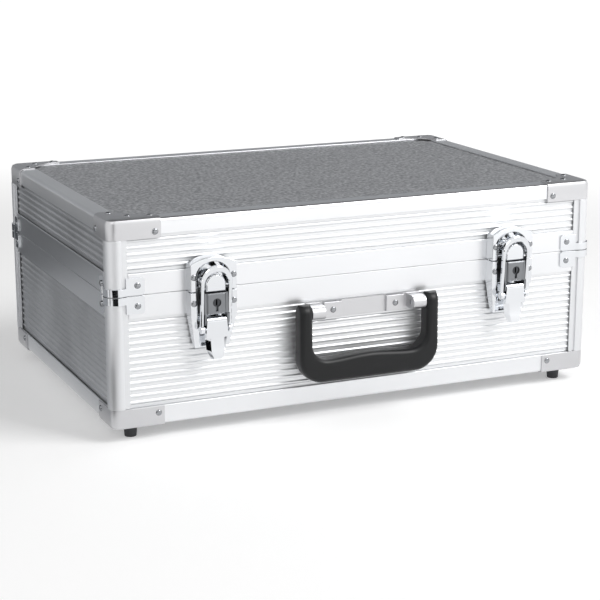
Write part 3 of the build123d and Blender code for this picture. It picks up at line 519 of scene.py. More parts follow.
class NodeShape:
    """A Geometry Nodes tree with named size inputs, run once and made a plain mesh."""

    def __init__(self, title: str, sizes: dict[str, float]) -> None:
        """Start a tree with a geometry input and one number input for each size.

        Args:
            title: The tree's name.
            sizes: The name and value in mm of each size.
        """
        self.sizes = sizes
        self.tree = bpy.data.node_groups.new(title, "GeometryNodeTree")
        face = self.tree.interface
        face.new_socket("Geometry", in_out="INPUT", socket_type="NodeSocketGeometry")
        self.sockets = {
            name: face.new_socket(name, in_out="INPUT", socket_type="NodeSocketFloat")
            for name in sizes
        }
        face.new_socket("Geometry", in_out="OUTPUT", socket_type="NodeSocketGeometry")
        self.inputs = add(self.tree, "NodeGroupInput").outputs

    def parts(self) -> Any:
        """Return the X, Y and Z of each point's place."""
        where = add(self.tree, "GeometryNodeInputPosition")
        return add(self.tree, "ShaderNodeSeparateXYZ", {"Vector": where}).outputs

    def board(self, sizes: tuple[str, str, str], counts: tuple[int, int, int]) -> Any:
        """Add a board of three named sizes, with a count of points along each."""
        extent = {axis: self.inputs[name] for axis, name in zip("XYZ", sizes)}
        cuts = {f"Vertices {axis}": count for axis, count in zip("XYZ", counts)}
        size = add(self.tree, "ShaderNodeCombineXYZ", extent)
        return add(self.tree, "GeometryNodeMeshCube", {"Size": size} | cuts)

    def lay(self, piece: Any, name: str, turner: str, socket: str, **settings: Any) -> Any:
        """Lay a piece on each point of the source, turned by the point's named vector."""
        vector = add(
            self.tree, "GeometryNodeInputNamedAttribute", {"Name": name}, data_type="FLOAT_VECTOR"
        )
        turn = add(self.tree, turner, {socket: vector}, **settings)
        laid = {"Points": self.inputs["Geometry"], "Instance": piece, "Rotation": turn}
        return add(self.tree, "GeometryNodeInstanceOnPoints", laid)

    def run(
        self, title: str, source: bpy.types.Mesh, geometry: Any, finish: Finish
    ) -> bpy.types.Object:
        """End the tree, evaluate it on a mesh and return a plain object of the result.

        Args:
            title: The new object's name.
            source: The mesh that the tree starts from.
            geometry: The node whose geometry is kept, smooth and as real meshes.
            finish: The finish that the result keeps.

        Returns:
            The new object, with no modifier.
        """
        real = add(self.tree, "GeometryNodeRealizeInstances", {"Geometry": geometry})
        shade = add(self.tree, "GeometryNodeSetShadeSmooth", {"Geometry": real})
        paint = {"Geometry": shade, "Material": finish.material()}
        painted = add(self.tree, "GeometryNodeSetMaterial", paint)
        add(self.tree, "NodeGroupOutput", {"Geometry": painted})
        carrier = placed(title + "_carrier", source)
        modifier = carrier.modifiers.new("shape", "NODES")
        modifier.node_group = self.tree
        for name, socket in self.sockets.items():
            modifier[socket.identifier] = float(self.sizes[name] * MM)
        graph = bpy.context.evaluated_depsgraph_get()
        mesh = bpy.data.meshes.new_from_object(carrier.evaluated_get(graph))
        carrier.modifiers.remove(modifier)
        bpy.data.objects.remove(carrier)
        mesh.name = title
        return as_object(title, mesh, finish)


@dataclass
class DomeRivets:
    """Dome-headed rivets of one body, set on the faces that they hold, in mm."""

    title: str
    body: Body
    node: str
    places: list[tuple[Triple, Triple]]
    head_radius: float = 2.4
    head_height: float = 1.2
    crown: float = 0.8

    def build(self) -> None:
        """Set one flattened dome on each place, facing out of its surface."""
        spots = [Vector(place) * MM for place, _ in self.places]
        outward = [part for _, out in self.places for part in Vector(out)]
        points = dotted(self.title, spots, "facing", outward)
        sizes = {"Head radius": self.head_radius, "Head height": self.head_height}
        shape = NodeShape("dome_rivets", sizes)
        radius, height = (shape.inputs[name] for name in sizes)
        round_ball = {"Segments": 20, "Rings": 14, "Radius": 1.0}
        ball = add(shape.tree, "GeometryNodeMeshUVSphere", round_ball)
        parts = shape.parts()
        rise = ("POWER", ("MAXIMUM", parts["Z"], 0.0), self.crown)
        squeezed = {
            "X": ("MULTIPLY", parts["X"], radius),
            "Y": ("MULTIPLY", parts["Y"], radius),
            "Z": ("MULTIPLY", rise, height),
        }
        place = add(shape.tree, "ShaderNodeCombineXYZ", squeezed)
        moved = {"Geometry": ball, "Position": place}
        dome = add(shape.tree, "GeometryNodeSetPosition", moved)
        laid = shape.lay(
            dome, "facing", "FunctionNodeAlignRotationToVector", "Vector", axis="Z"
        )
        made = shape.run(self.title, points, laid, RIVET_PAINTED_SHADE)
        fix_normals(made.data)
        smooth(made.data, 60)
        settle(made, self.body, "steel", self.node)


@dataclass
class Shell:
    """The sizes of the case's shell that more than one sub-assembly needs, in mm."""

    half_width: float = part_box("base_rim")[1].x / MM
    front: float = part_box("base_rim")[0].y / MM
    rear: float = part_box("base_rim")[1].y / MM
    parting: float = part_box("base_corner_posts")[1].z / MM
    lid_top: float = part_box("top_edge_front")[1].z / MM
    base_floor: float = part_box("bottom_edge_front")[0].z / MM


SHELL = Shell()


@dataclass
class RivetPlan:
    """Where the rivets of the caps, brackets, latches, handle and hinges sit, in mm.

    Each one is a place and the way out of its surface. A rise is above the parting line,
    a drop is below it or in from the nearest end, and proud is how far out the face is.
    """

    cap_along: float = 34.8
    cap_side_along: float = 27.0
    cap_drop: float = 9.5
    cap_proud: float = 1.0
    flat_spots: tuple = ((34.0, 7.5), (8.5, 25.5), (18.0, 11.0))
    bracket_along: float = 20.5
    bracket_side_along: float = 16.5
    bracket_rise: float = 7.8
    bracket_drop: float = 7.5
    bracket_proud: float = 1.3
    latch_offset: float = 126.0
    latch_along: float = 15.5
    latch_rise: float = 11.5
    latch_drop: float = 8.0
    latch_proud: float = 10.0
    hinge_offset: float = 118.0
    hinge_pitch: float = 22.0
    hinge_level: float = 9.0
    hinge_proud: float = 1.5
    handle_offset: float = 26.5
    handle_drop: float = 26.0
    handle_proud: float = 2.9

    def around(self, level: float, along: float, side_along: float, proud: float) -> list:
        """Places at the four corners, one on each face beside each corner."""
        found = []
        for sx in (-1, 1):
            for y, ny in ((SHELL.front - proud, -1), (SHELL.rear + proud, 1)):
                found.append(((sx * (SHELL.half_width - along), y, level), (0, ny, 0)))
            for y in (SHELL.front + side_along, SHELL.rear - side_along):
                found.append(((sx * (SHELL.half_width + proud), y, level), (sx, 0, 0)))
        return found

    def on_flats(self, level: float, direction: int, spots: tuple) -> list:
        """Places on the caps' flats, on top of the lid or under the base."""
        found = []
        for sx in (-1, 1):
            for along, deep in spots:
                x = sx * (SHELL.half_width - along)
                for y in (SHELL.front + deep, SHELL.rear - deep):
                    found.append(((x, y, level), (0, 0, direction)))
        return found

    @staticmethod
    def in_pairs(offset: float, steps: tuple, face: float, level: float, out: int) -> list:
        """Places about two spots left and right of the middle, on the front or rear face."""
        return [((sx * offset + dx, face, level), (0, out, 0)) for sx in (-1, 1) for dx in steps]

    def places(self, lid: bool) -> list:
        """All places on the lid or on the base, whose caps have a foot at the last spot."""
        way, end, spots = 1, SHELL.lid_top, self.flat_spots
        part, front = SHELL.parting, SHELL.front
        bracket, latch = part + self.bracket_rise, part + self.latch_rise
        handle = []
        if not lid:
            way, end, spots = -1, SHELL.base_floor, self.flat_spots[:2]
            bracket, latch = part - self.bracket_drop, part - self.latch_drop
            face, level = front - self.handle_proud, part - self.handle_drop
            handle = self.in_pairs(self.handle_offset, (0,), face, level, -1)
        cap = (self.cap_along, self.cap_side_along, self.cap_proud)
        corner = (self.bracket_along, self.bracket_side_along, self.bracket_proud)
        flange = (-self.latch_along, self.latch_along)
        leaf = (-self.hinge_pitch, 0, self.hinge_pitch)
        hinge = part + way * self.hinge_level
        return (
            self.around(end - way * self.cap_drop, *cap)
            + self.around(bracket, *corner)
            + self.on_flats(end + way * self.cap_proud, way, spots)
            + self.in_pairs(self.latch_offset, flange, front - self.latch_proud, latch, -1)
            + self.in_pairs(self.hinge_offset, leaf, SHELL.rear + self.hinge_proud, hinge, 1)
            + handle
        )


# Sub-assemblies


@dataclass
class ShellFrame:
    """The extruded frame of base and lid: edge bars, rims and corner posts."""

    edge_round_mm: float = 0.35

    def build(self) -> None:
        """Round the extrusions' edges and give them their satin anodising."""
        pieces = []
        for side in ("front", "rear", "left", "right"):
            finish = FRAME_ALONG_X if side in ("front", "rear") else FRAME_ALONG_Y
            pieces.append((f"bottom_edge_{side}", Body.BASE, finish))
            pieces.append((f"top_edge_{side}", Body.LID, finish))
        for part, finish in (("rim", FRAME_ALONG_X), ("corner_posts", FRAME_ALONG_Z)):
            for body in (Body.BASE, Body.LID):
                pieces.append((f"{body.value}_{part}", body, finish))
        for node, body, finish in pieces:
            dress(node, body, "frame", finish, self.edge_round_mm, "_anodised")


@dataclass
class RibbedWall:
    """One ribbed wall board, whose half-round ribs run along the wall.

    The sizes are in mm. The ribs fill the height that shows between the frame's bars.
    """

    node: str
    body: Body
    outward: tuple[int, int]
    ribs_low: float
    ribs_high: float
    pitch: float = 5.0
    proud: float = 0.9
    radius: float = 1.4
    margin: float = 1.6
    samples_per_pitch: int = 20

    def build(self) -> None:
        """Raise the ribs on a fine board by a rule, and turn the board to its wall."""
        low, high = box_of(self.node)
        size = high - low
        across = abs(self.outward[0])
        length, thickness = (size.y, size.x) if across else (size.x, size.y)
        count = int((self.ribs_high - self.ribs_low - 2 * self.margin) // self.pitch) + 1
        first = (self.ribs_low + self.ribs_high - (count - 1) * self.pitch) / 2
        sizes = {
            "Length": length,
            "Core": thickness - self.proud,
            "Height": size.z,
            "Rib pitch": self.pitch,
            "Rib proud": self.proud,
            "Rib radius": self.radius,
            "Rib start": first - low.z - self.pitch / 2,
            "Rib end": first + (count - 0.5) * self.pitch - low.z,
        }
        shape = NodeShape(self.node + "_ribs", sizes)
        tree = shape.tree
        _, _, height, pitch, proud, radius, start, end = (shape.inputs[name] for name in sizes)
        rows = int(size.z / self.pitch * self.samples_per_pitch) + 1
        board = shape.board(("Length", "Core", "Height"), (2, 2, rows))
        parts = shape.parts()
        terms = {0: parts["Z"], 1: ("MULTIPLY", height, 0.5)}
        level = add(tree, "ShaderNodeMath", terms, operation="ADD")
        in_pitch = ("FLOORED_MODULO", ("SUBTRACT", level, start), pitch)
        terms = {0: in_pitch, 1: ("MULTIPLY", pitch, 0.5)}
        off_rib = add(tree, "ShaderNodeMath", terms, operation="SUBTRACT")
        room = ("SUBTRACT", ("MULTIPLY", radius, radius), ("MULTIPLY", off_rib, off_rib))
        arc = ("SQRT", ("MAXIMUM", room, 0.0))
        rise = ("MAXIMUM", ("SUBTRACT", arc, ("SUBTRACT", radius, proud)), 0.0)
        inside = ("MULTIPLY", ("GREATER_THAN", level, start), ("LESS_THAN", level, end))
        on_front = ("MULTIPLY", ("LESS_THAN", parts["Y"], 0.0), inside)
        out = {"Y": ("MULTIPLY", ("MULTIPLY", rise, on_front), -1.0)}
        push = add(tree, "ShaderNodeCombineXYZ", out)
        ribbed = add(tree, "GeometryNodeSetPosition", {"Geometry": board, "Offset": push})
        finish = RIBBED_ALONG_Y_PAINTED_SHADE if across else RIBBED_ALONG_X
        empty = bpy.data.meshes.new(self.node + "_start")
        made = shape.run(self.node + "_ribbed", empty, ribbed, finish)
        sx, sy = self.outward
        middle = (low + high) / 2
        middle.x -= sx * self.proud / 2
        middle.y -= sy * self.proud / 2
        turn = Matrix.Rotation(math.atan2(sx, -sy), 4, "Z")
        made.data.transform(Matrix.Translation(middle * MM) @ turn)
        smooth(made.data, 35)
        settle(made, self.body, "ribbed_panel", self.node)


@dataclass
class WallBoards:
    """The eight ribbed walls, and the flat boards of the lid's top and the bottom."""

    bottom_bar: float = 14.5
    base_band: float = 17.0
    lid_band: float = 16.3
    top_bar: float = 12.0

    def build(self) -> None:
        """Make each wall, and give the flat boards their hammered laminate."""
        base_ribs = (SHELL.base_floor + self.bottom_bar, SHELL.parting - self.base_band)
        lid_ribs = (SHELL.parting + self.lid_band, SHELL.lid_top - self.top_bar)
        walls = {"front": (0, -1), "rear": (0, 1), "left": (-1, 0), "right": (1, 0)}
        for side, outward in walls.items():
            RibbedWall(f"base_{side}_panel", Body.BASE, outward, *base_ribs).build()
            RibbedWall(f"lid_{side}_panel", Body.LID, outward, *lid_ribs).build()
        for node in ("lid_top_panel", "base_bottom_panel"):
            paint_node(node, HAMMERED)





@dataclass
class CarryHandle:
    """The moulded grip, in mm about the middle of its bracket's face."""

    half_width: float = 58.5
    arm_width: float = 10.0
    thickness: float = 15.0
    back_gap: float = 1.1
    drop: float = 79.5
    bar_height: float = 18.0
    outer_radius: float = 19.0
    inner_radius: float = 13.0
    wave: float = 2.2
    edge_round: float = 4.2
    pivot_drop: float = 25.5
    section_points: int = 8

    def stations(self) -> list[tuple[Vector, Vector, float]]:
        """Walk from the left arm's end to the right one's.

        Returns:
            The outer point, the inner point and half the thickness at each step.
        """
        inner = self.half_width - self.arm_width
        half, start, floor = self.thickness / 2, -self.pivot_drop, self.bar_height - self.drop
        round_out, round_in = self.outer_radius, self.inner_radius
        outer_centre = Vector((self.half_width - round_out, round_out - self.drop))
        inner_centre = Vector((inner - round_in, floor + round_in))
        steps = []
        # The arm's half-round end
        for degrees in range(88, -1, -11):
            level = start + half * math.sin(math.radians(degrees))
            thick = math.sqrt(half**2 - (level - start) ** 2)
            steps.append(((self.half_width, level), (inner, level), thick))
        # Down the straight arm
        for share in (0.3, 0.65):
            levels = [start + (centre.y - start) * share for centre in (outer_centre, inner_centre)]
            steps.append(((self.half_width, levels[0]), (inner, levels[1]), half))
        # Round the corner, a quarter turn
        for i in range(13):
            turn = math.radians(7.5 * i)
            out = Vector((math.cos(turn), -math.sin(turn)))
            steps.append((outer_centre + round_out * out, inner_centre + round_in * out, half))
        # Along the bar to its middle, whose upper side waves
        for i in range(1, 9):
            left = 1 - i / 8
            level = floor + self.wave * (0.5 - 0.5 * math.cos(math.pi * (1 - left)))
            ends = (outer_centre.x * left, -self.drop), (inner_centre.x * left, level)
            steps.append((*ends, half))
        mirrored = [((-a[0], a[1]), (-b[0], b[1]), thick) for a, b, thick in steps[:-1]]
        return [(Vector(a), Vector(b), thick) for a, b, thick in steps + mirrored[::-1]]

    def ring(self, outer: Vector, inner: Vector, half: float) -> list[Vector]:
        """Draw the grip's rounded section between an outer and an inner point."""
        middle, reach = (outer + inner) / 2, (outer - inner) / 2
        wide = reach.length
        way = reach / wide
        radius = min(self.edge_round, half * 0.98, wide * 0.98)
        lift = Vector((0, SHELL.front - self.back_gap - self.thickness / 2, SHELL.parting))
        points = []
        for quarter, (su, sv) in enumerate(QUARTERS):
            for i in range(self.section_points):
                turn = math.radians(90 * (quarter + i / (self.section_points - 1)))
                along = su * (wide - radius) + radius * math.cos(turn)
                deep = sv * (half - radius) + radius * math.sin(turn)
                spot = middle + way * along
                points.append(Vector((spot.x, deep, spot.y)) + lift)
        return points

    def build(self) -> None:
        """Skin the grip from its sections, and finish the bracket and pins."""
        rings = [self.ring(*station) for station in self.stations()]
        made = skinned("handle_grip_moulded", rings, GRIP, 50)
        settle(made, Body.HANDLE, "grip_plastic", "handle_grip")
        dress("handle_bracket", Body.BASE, "chromed", NICKEL, 0.4)
        paint_node("handle_pins", POLISHED)


@dataclass
class ToggleLatch:
    """One key-lock toggle latch: channel, lock, lever, bail and strike hood."""

    side: str

    def build(self) -> None:
        """Finish the latch's parts on the bodies that carry them."""
        side = self.side
        lever, bail = Body["LEVER_" + side.upper()], Body["BAIL_" + side.upper()]
        dress(f"latch_base_{side}", Body.BASE, "chromed", CHROME, 0.8)
        dress(f"lock_housing_{side}", Body.BASE, "lock_metal", ZINC, 0.3)
        dress(f"strike_hood_{side}", Body.LID, "chromed", CHROME, 0.7)
        dress(f"lever_{side}", lever, "chromed", CHROME, 0.3)
        dress(f"bail_{side}", bail, "chromed", CHROME, 0.4)
        paint_node(f"lock_plug_{side}", LOCK_PLUG_PAINTED_SHADE)
        paint_node(f"bail_pin_{side}", POLISHED)


@dataclass
class RearHinges:
    """Two butt hinges on the rear face."""

    edge_round_mm: float = 0.2

    def build(self) -> None:
        """Finish the leaves and pins."""
        for side in ("left", "right"):
            for body in (Body.BASE, Body.LID):
                leaf = f"hinge_{body.value}_leaf_{side}"
                dress(leaf, body, "chromed", CHROME, self.edge_round_mm)
        paint_node("hinge_pins", POLISHED)


# Soft lining


@dataclass(frozen=True)
class Swell:
    """How cloth simulation fills a foam board out between its sewn edges, in mm."""

    voxel: float = 3.4
    inset: float = 1.3
    cap: float = 1.25
    cap_share_at_edge: float = 0.2
    edge: float = 16.0
    pressure: float = 4.0
    frames: int = 20


def baked(made: bpy.types.Object) -> None:
    """Apply an object's modifiers to its mesh, as a plain mesh with one material."""
    graph = bpy.context.evaluated_depsgraph_get()
    mesh = bpy.data.meshes.new_from_object(made.evaluated_get(graph))
    made.modifiers.clear()
    made.data = mesh


@dataclass
class Stitching:
    """Lock stitches of heavy thread, half sunk in what they hold, in mm."""

    title: str
    slot: str
    pitch: float = 4.0
    length: float = 2.7
    width: float = 0.9

    def build(self, spots: list[tuple[Vector, Vector, Vector]]) -> None:
        """Lay one stitch on each spot.

        Args:
            spots: The place in metres, the way out of the surface and the way of the seam.
        """
        turns = []
        for _, out, along in spots:
            across = out.cross(along).normalized()
            turns += Matrix((across.cross(out), across, out)).transposed().to_euler()
        points = dotted(self.title, [spot[0] for spot in spots], "turn", turns)
        sizes = {"Half length": self.length / 2, "Half width": self.width / 2}
        shape = NodeShape("lock_stitches", sizes)
        long, wide = (shape.inputs[name] for name in sizes)
        size = add(shape.tree, "ShaderNodeCombineXYZ", {"X": long, "Y": wide, "Z": wide})
        ball = add(shape.tree, "GeometryNodeMeshIcoSphere", {"Radius": 1.0, "Subdivisions": 1})
        thread = add(shape.tree, "GeometryNodeTransform", {"Geometry": ball, "Scale": size})
        laid = shape.lay(thread, "turn", "FunctionNodeEulerToRotation", "Euler")
        made = shape.run(self.title, points, laid, THREAD)
        fix_normals(made.data)
        settle(made, Body.BASE, self.slot)


@dataclass
class FoamBoards:
    """Foam boards in cloth, thin along one axis, swollen between sewn edges, in mm."""

    node: str
    slot: str
    finish: Finish
    boxes: list[tuple[Vector, Vector]]
    thin: int
    swell: Swell = Swell()
    seam: float = 5.0
    groove: float = 0.55
    groove_width: float = 1.8
    trim: float = 0.6
    reach: float = 4.0

    def __post_init__(self) -> None:
        """Find the two axes that the boards are wide along."""
        self.wide = [axis for axis in range(3) if axis != self.thin]

    def blanks(self) -> bpy.types.Object:
        """Cut the boards a little thinner than they end up."""
        shape = bmesh.new()
        for low, high in self.boxes:
            corners = bmesh.ops.create_cube(shape, size=1.0)["verts"]
            size = high - low
            size[self.thin] -= 2 * self.swell.inset
            for axis in self.wide:
                size[axis] -= self.trim
            middle = (low + high) / 2
            for corner in corners:
                corner.co = Vector([m + c * d for m, c, d in zip(middle, corner.co, size)]) * MM
        mesh = bpy.data.meshes.new(self.node + "_soft")
        shape.to_mesh(mesh)
        shape.free()
        made = as_object(self.node + "_soft", mesh, self.finish)
        cells = made.modifiers.new("cells", "REMESH")
        cells.mode = "VOXEL"
        cells.voxel_size = self.swell.voxel * MM
        baked(made)
        return made

    def home(self, place: Vector) -> tuple[Vector, Vector]:
        """Return the box in mm of the board that a point in metres is on."""
        spot = place / MM

        def outside(box: tuple[Vector, Vector]) -> float:
            """Measure how far outside a box the point lies."""
            return sum(max(low - at, at - high, 0.0) for low, high, at in zip(*box, spot))

        return min(self.boxes, key=outside)

    def from_edge(self, place: Vector) -> float:
        """Measure how far in from its board's outline a point lies, in mm."""
        low, high = self.home(place)
        spot = place / MM
        return max(min(min(spot[k] - low[k], high[k] - spot[k]) for k in self.wide), 0.0)

    def fill(self, made: bpy.types.Object) -> None:
        """Blow the boards up with cloth simulation, held back near their edges."""
        start = [vertex.co.copy() for vertex in made.data.vertices]
        cloth = made.modifiers.new("fill", "CLOTH")
        cloth.settings.use_pressure = True
        cloth.settings.uniform_pressure_force = self.swell.pressure
        cloth.settings.effector_weights.gravity = 0.0
        scene = bpy.context.scene
        for step in range(1, self.swell.frames + 1):
            scene.frame_set(step)
        graph = bpy.context.evaluated_depsgraph_get()
        moved = [vertex.co.copy() for vertex in made.evaluated_get(graph).data.vertices]
        made.modifiers.remove(cloth)
        scene.frame_set(1)
        base = self.swell.cap_share_at_edge
        for vertex, before, after in zip(made.data.vertices, start, moved):
            share = min(self.from_edge(before) / self.swell.edge, 1.0)
            bulge = base + (1 - base) * share * (2 - share)
            room = self.swell.cap * MM * bulge
            shift = after - before
            if shift.length > room:
                shift *= room / shift.length
            vertex.co = before + shift

    def draw_in(self, mesh: bpy.types.Mesh) -> None:
        """Pull the cloth in along the seams."""
        for vertex in mesh.vertices:
            low, high = self.home(vertex.co)
            middle = (low[self.thin] + high[self.thin]) / 2 * MM
            gap = (self.from_edge(vertex.co) - self.seam) / self.groove_width
            depth = self.groove * MM * math.exp(-gap * gap)
            side = 1 if vertex.co[self.thin] > middle else -1
            if abs(vertex.co[self.thin] - middle) > 2 * depth:
                vertex.co[self.thin] -= side * depth

    def seams(self, mesh: bpy.types.Mesh, pitch: float) -> list[tuple[Vector, Vector, Vector]]:
        """Space rows of stitches along all edges on both faces, and drop each on the cloth."""
        points = [vertex.co for vertex in mesh.vertices]
        skin = BVHTree.FromPolygons(points, [tuple(face.vertices) for face in mesh.polygons])
        spots = []
        for (low, high), flank, order in product(self.boxes, (-1, 1), (1, -1)):
            run, cross = self.wide[::order]
            start, end = low[run] + self.seam, high[run] - self.seam
            count = int((end - start) / pitch)
            face = (high if flank > 0 else low)[self.thin] + flank * self.reach
            for edge in (low[cross] + self.seam, high[cross] - self.seam):
                for i in range(count):
                    above = on_axis(self.thin, face) + on_axis(cross, edge)
                    above += on_axis(run, start + (i + 0.5) * (end - start) / count)
                    ray = (above * MM, on_axis(self.thin, -flank), 2 * self.reach * MM)
                    place, normal, _, _ = skin.ray_cast(*ray)
                    if place:
                        spots.append((place, normal, on_axis(run, 1.0)))
        return spots

    def build(self) -> None:
        """Make the boards and their stitches."""
        made = self.blanks()
        self.fill(made)
        finer = made.modifiers.new("finer", "SUBSURF")
        finer.levels = finer.render_levels = 1
        baked(made)
        self.draw_in(made.data)
        smooth(made.data, 70)
        settle(made, Body.BASE, self.slot, self.node)
        stitches = Stitching(self.node + "_stitches", self.slot)
        stitches.build(self.seams(made.data, stitches.pitch))


@dataclass
class WallLining:
    """Cloth-faced foam round the inside of the base, with a sewn top hem, in mm."""

    corner: float = 9.0
    step: float = 4.0
    thickness: float = 3.5
    wave: float = 0.5
    wave_length: float = 34.0
    hem_drop: float = 5.0

    def path(self, low: Vector, high: Vector) -> list[tuple[Vector, Vector]]:
        """Walk round the outer outline, giving each point and the way out there."""
        middle, half = (low + high) / 2, (high - low) / 2
        inner = (half.x - self.corner, half.y - self.corner)
        spots = []
        for quarter, (sx, sy) in enumerate(QUARTERS):
            centre = Vector((middle.x + sx * inner[0], middle.y + sy * inner[1], 0))
            for i in range(7):
                turn = math.radians(90 * quarter + 15 * i)
                out = Vector((math.cos(turn), math.sin(turn), 0))
                spots.append((centre + self.corner * out, out))
            length = 2 * inner[quarter % 2]
            ahead = Vector((-out.y, out.x, 0))
            count = int(length / self.step)
            start = spots[-1][0]
            spots += [(start + ahead * (length * i / count), out) for i in range(1, count)]
        return spots

    def section(self, low: float, high: float) -> list[tuple[float, float]]:
        """Draw the lining's section up the wall, over its round top and down again.

        Args:
            low: The level of its foot in mm.
            high: The level of its top in mm.

        Returns:
            How far in from the wall and how high each point lies.
        """
        radius = self.thickness / 2
        top = high - radius
        points = [(0.0, low), (0.0, low + (high - low) / 2), (0.0, top)]
        for i in range(1, 8):
            turn = math.radians(22.5 * i)
            points.append((radius - radius * math.cos(turn), top + radius * math.sin(turn)))
        return points + [(self.thickness, top - i * (top - low) / 18) for i in range(19)]

    def build(self) -> None:
        """Sweep the lining round the walls, and sew its hem."""
        low, high = box_of("wall_lining")
        top = high.z - self.thickness / 2
        section = self.section(low.z, high.z)
        rings, seam = [], []
        for place, out in self.path(low, high):
            ring = []
            for deep, level in section:
                ripple = 0.0
                if deep == self.thickness and low.z + 2 < level < top - 2:
                    spot = (place + Vector((0, 0, level))) / self.wave_length
                    ripple = self.wave * (0.5 + 0.5 * noise.noise(spot))
                spot = place - out * (deep - ripple)
                ring.append(Vector((spot.x, spot.y, level)))
            rings.append(ring)
            sewn = place - out * (self.thickness - 0.1)
            ahead = Vector((-out.y, out.x, 0))
            seam.append((Vector((sewn.x, sewn.y, high.z - self.hem_drop)) * MM, -out, ahead))
        made = skinned("wall_lining_soft", rings, CLOTH, 60, loop=True)
        settle(made, Body.BASE, "foam", "wall_lining")
        Stitching("wall_lining_stitches", "foam").build(seam)


@dataclass
class EggCratePad:
    """Convoluted foam in the lid, whose peaks hold down what lies in the case."""

    relief: float = 9.0
    period: float = 25.0
    columns: int = 131
    rows: int = 85

    def build(self) -> None:
        """Press the peaks and hollows into a foam slab."""
        low, high = box_of("lid_pad")
        size = high - low
        sizes = {"Width": size.x, "Depth": size.y, "Height": size.z}
        wave = {"Relief": self.relief, "Period": self.period}
        shape = NodeShape("egg_crate_foam", sizes | wave)
        slab = shape.board(tuple(sizes), (self.columns, self.rows, 3))
        parts = shape.parts()
        pace = ("DIVIDE", math.tau, shape.inputs["Period"])
        waves = [("SINE", ("MULTIPLY", parts[axis], pace)) for axis in ("X", "Y")]
        hollow = ("MULTIPLY_ADD", ("MULTIPLY", *waves), -0.5, 0.5)
        under = ("LESS_THAN", parts["Z"], -0.001)
        rise = ("MULTIPLY", ("MULTIPLY", hollow, under), shape.inputs["Relief"])
        offset = add(shape.tree, "ShaderNodeCombineXYZ", {"Z": rise})
        moved = {"Geometry": slab, "Offset": offset}
        pressed = add(shape.tree, "GeometryNodeSetPosition", moved)
        empty = bpy.data.meshes.new("egg_crate_start")
        made = shape.run("lid_pad_egg_crate", empty, pressed, FOAM)
        made.data.transform(Matrix.Translation((low + high) / 2 * MM))
        fix_normals(made.data)
        smooth(made.data, 55)
        settle(made, Body.LID, "foam", "lid_pad")


@dataclass
class SoftLining:
    """Foam and cloth inside: wall lining, floor pad, dividers and lid pad."""

    board: float = 8.0
    gap: float = 0.3

    def cross_boxes(self) -> list[tuple[Vector, Vector]]:
        """Return the boxes of the four cross dividers, in mm."""
        low, high = box_of("cross_dividers")
        wall_low, wall_high = box_of("long_divider")
        boxes = []
        for x0 in (low.x, high.x - self.board):
            for y0, y1 in ((low.y, wall_low.y - self.gap), (wall_high.y + self.gap, high.y)):
                boxes.append((Vector((x0, y0, low.z)), Vector((x0 + self.board, y1, high.z))))
        return boxes

    def build(self) -> None:
        """Make the pads of the base and of the lid."""
        FoamBoards(
            "floor_pad", "foam", FOAM, [box_of("floor_pad")], 2, Swell(voxel=4.0, edge=24.0)
        ).build()
        FoamBoards("long_divider", "divider_cloth", CLOTH, [box_of("long_divider")], 1).build()
        FoamBoards("cross_dividers", "divider_cloth", CLOTH, self.cross_boxes(), 0).build()
        WallLining().build()
        EggCratePad().build()


# Camera, floor and light


@dataclass
class PhotoCamera:
    """The photograph's own view, solved from the case's straight edges."""

    yaw_deg: float = 24.13
    pitch_deg: float = 14.2
    lens_mm: float = 101.38
    sensor_mm: float = 36.0
    place_mm: Triple = (-557.4, -1254.6, 406.3)

    def build(self) -> None:
        """Place the camera and make it the scene's."""
        yaw, pitch = math.radians(self.yaw_deg), math.radians(self.pitch_deg)
        ahead = Vector(
            (math.sin(yaw) * math.cos(pitch), math.cos(yaw) * math.cos(pitch), -math.sin(pitch))
        )
        right = Vector((math.cos(yaw), -math.sin(yaw), 0))
        up = right.cross(ahead)
        data = bpy.data.cameras.new("photo_camera")
        data.sensor_width = self.sensor_mm
        data.lens = self.lens_mm
        data.clip_start, data.clip_end = 0.05, 50
        made = placed("photo_camera", data)
        turn = Matrix((right, up, -ahead)).transposed().to_4x4()
        made.matrix_world = Matrix.Translation(Vector(self.place_mm) * MM) @ turn
        bpy.context.scene.camera = made


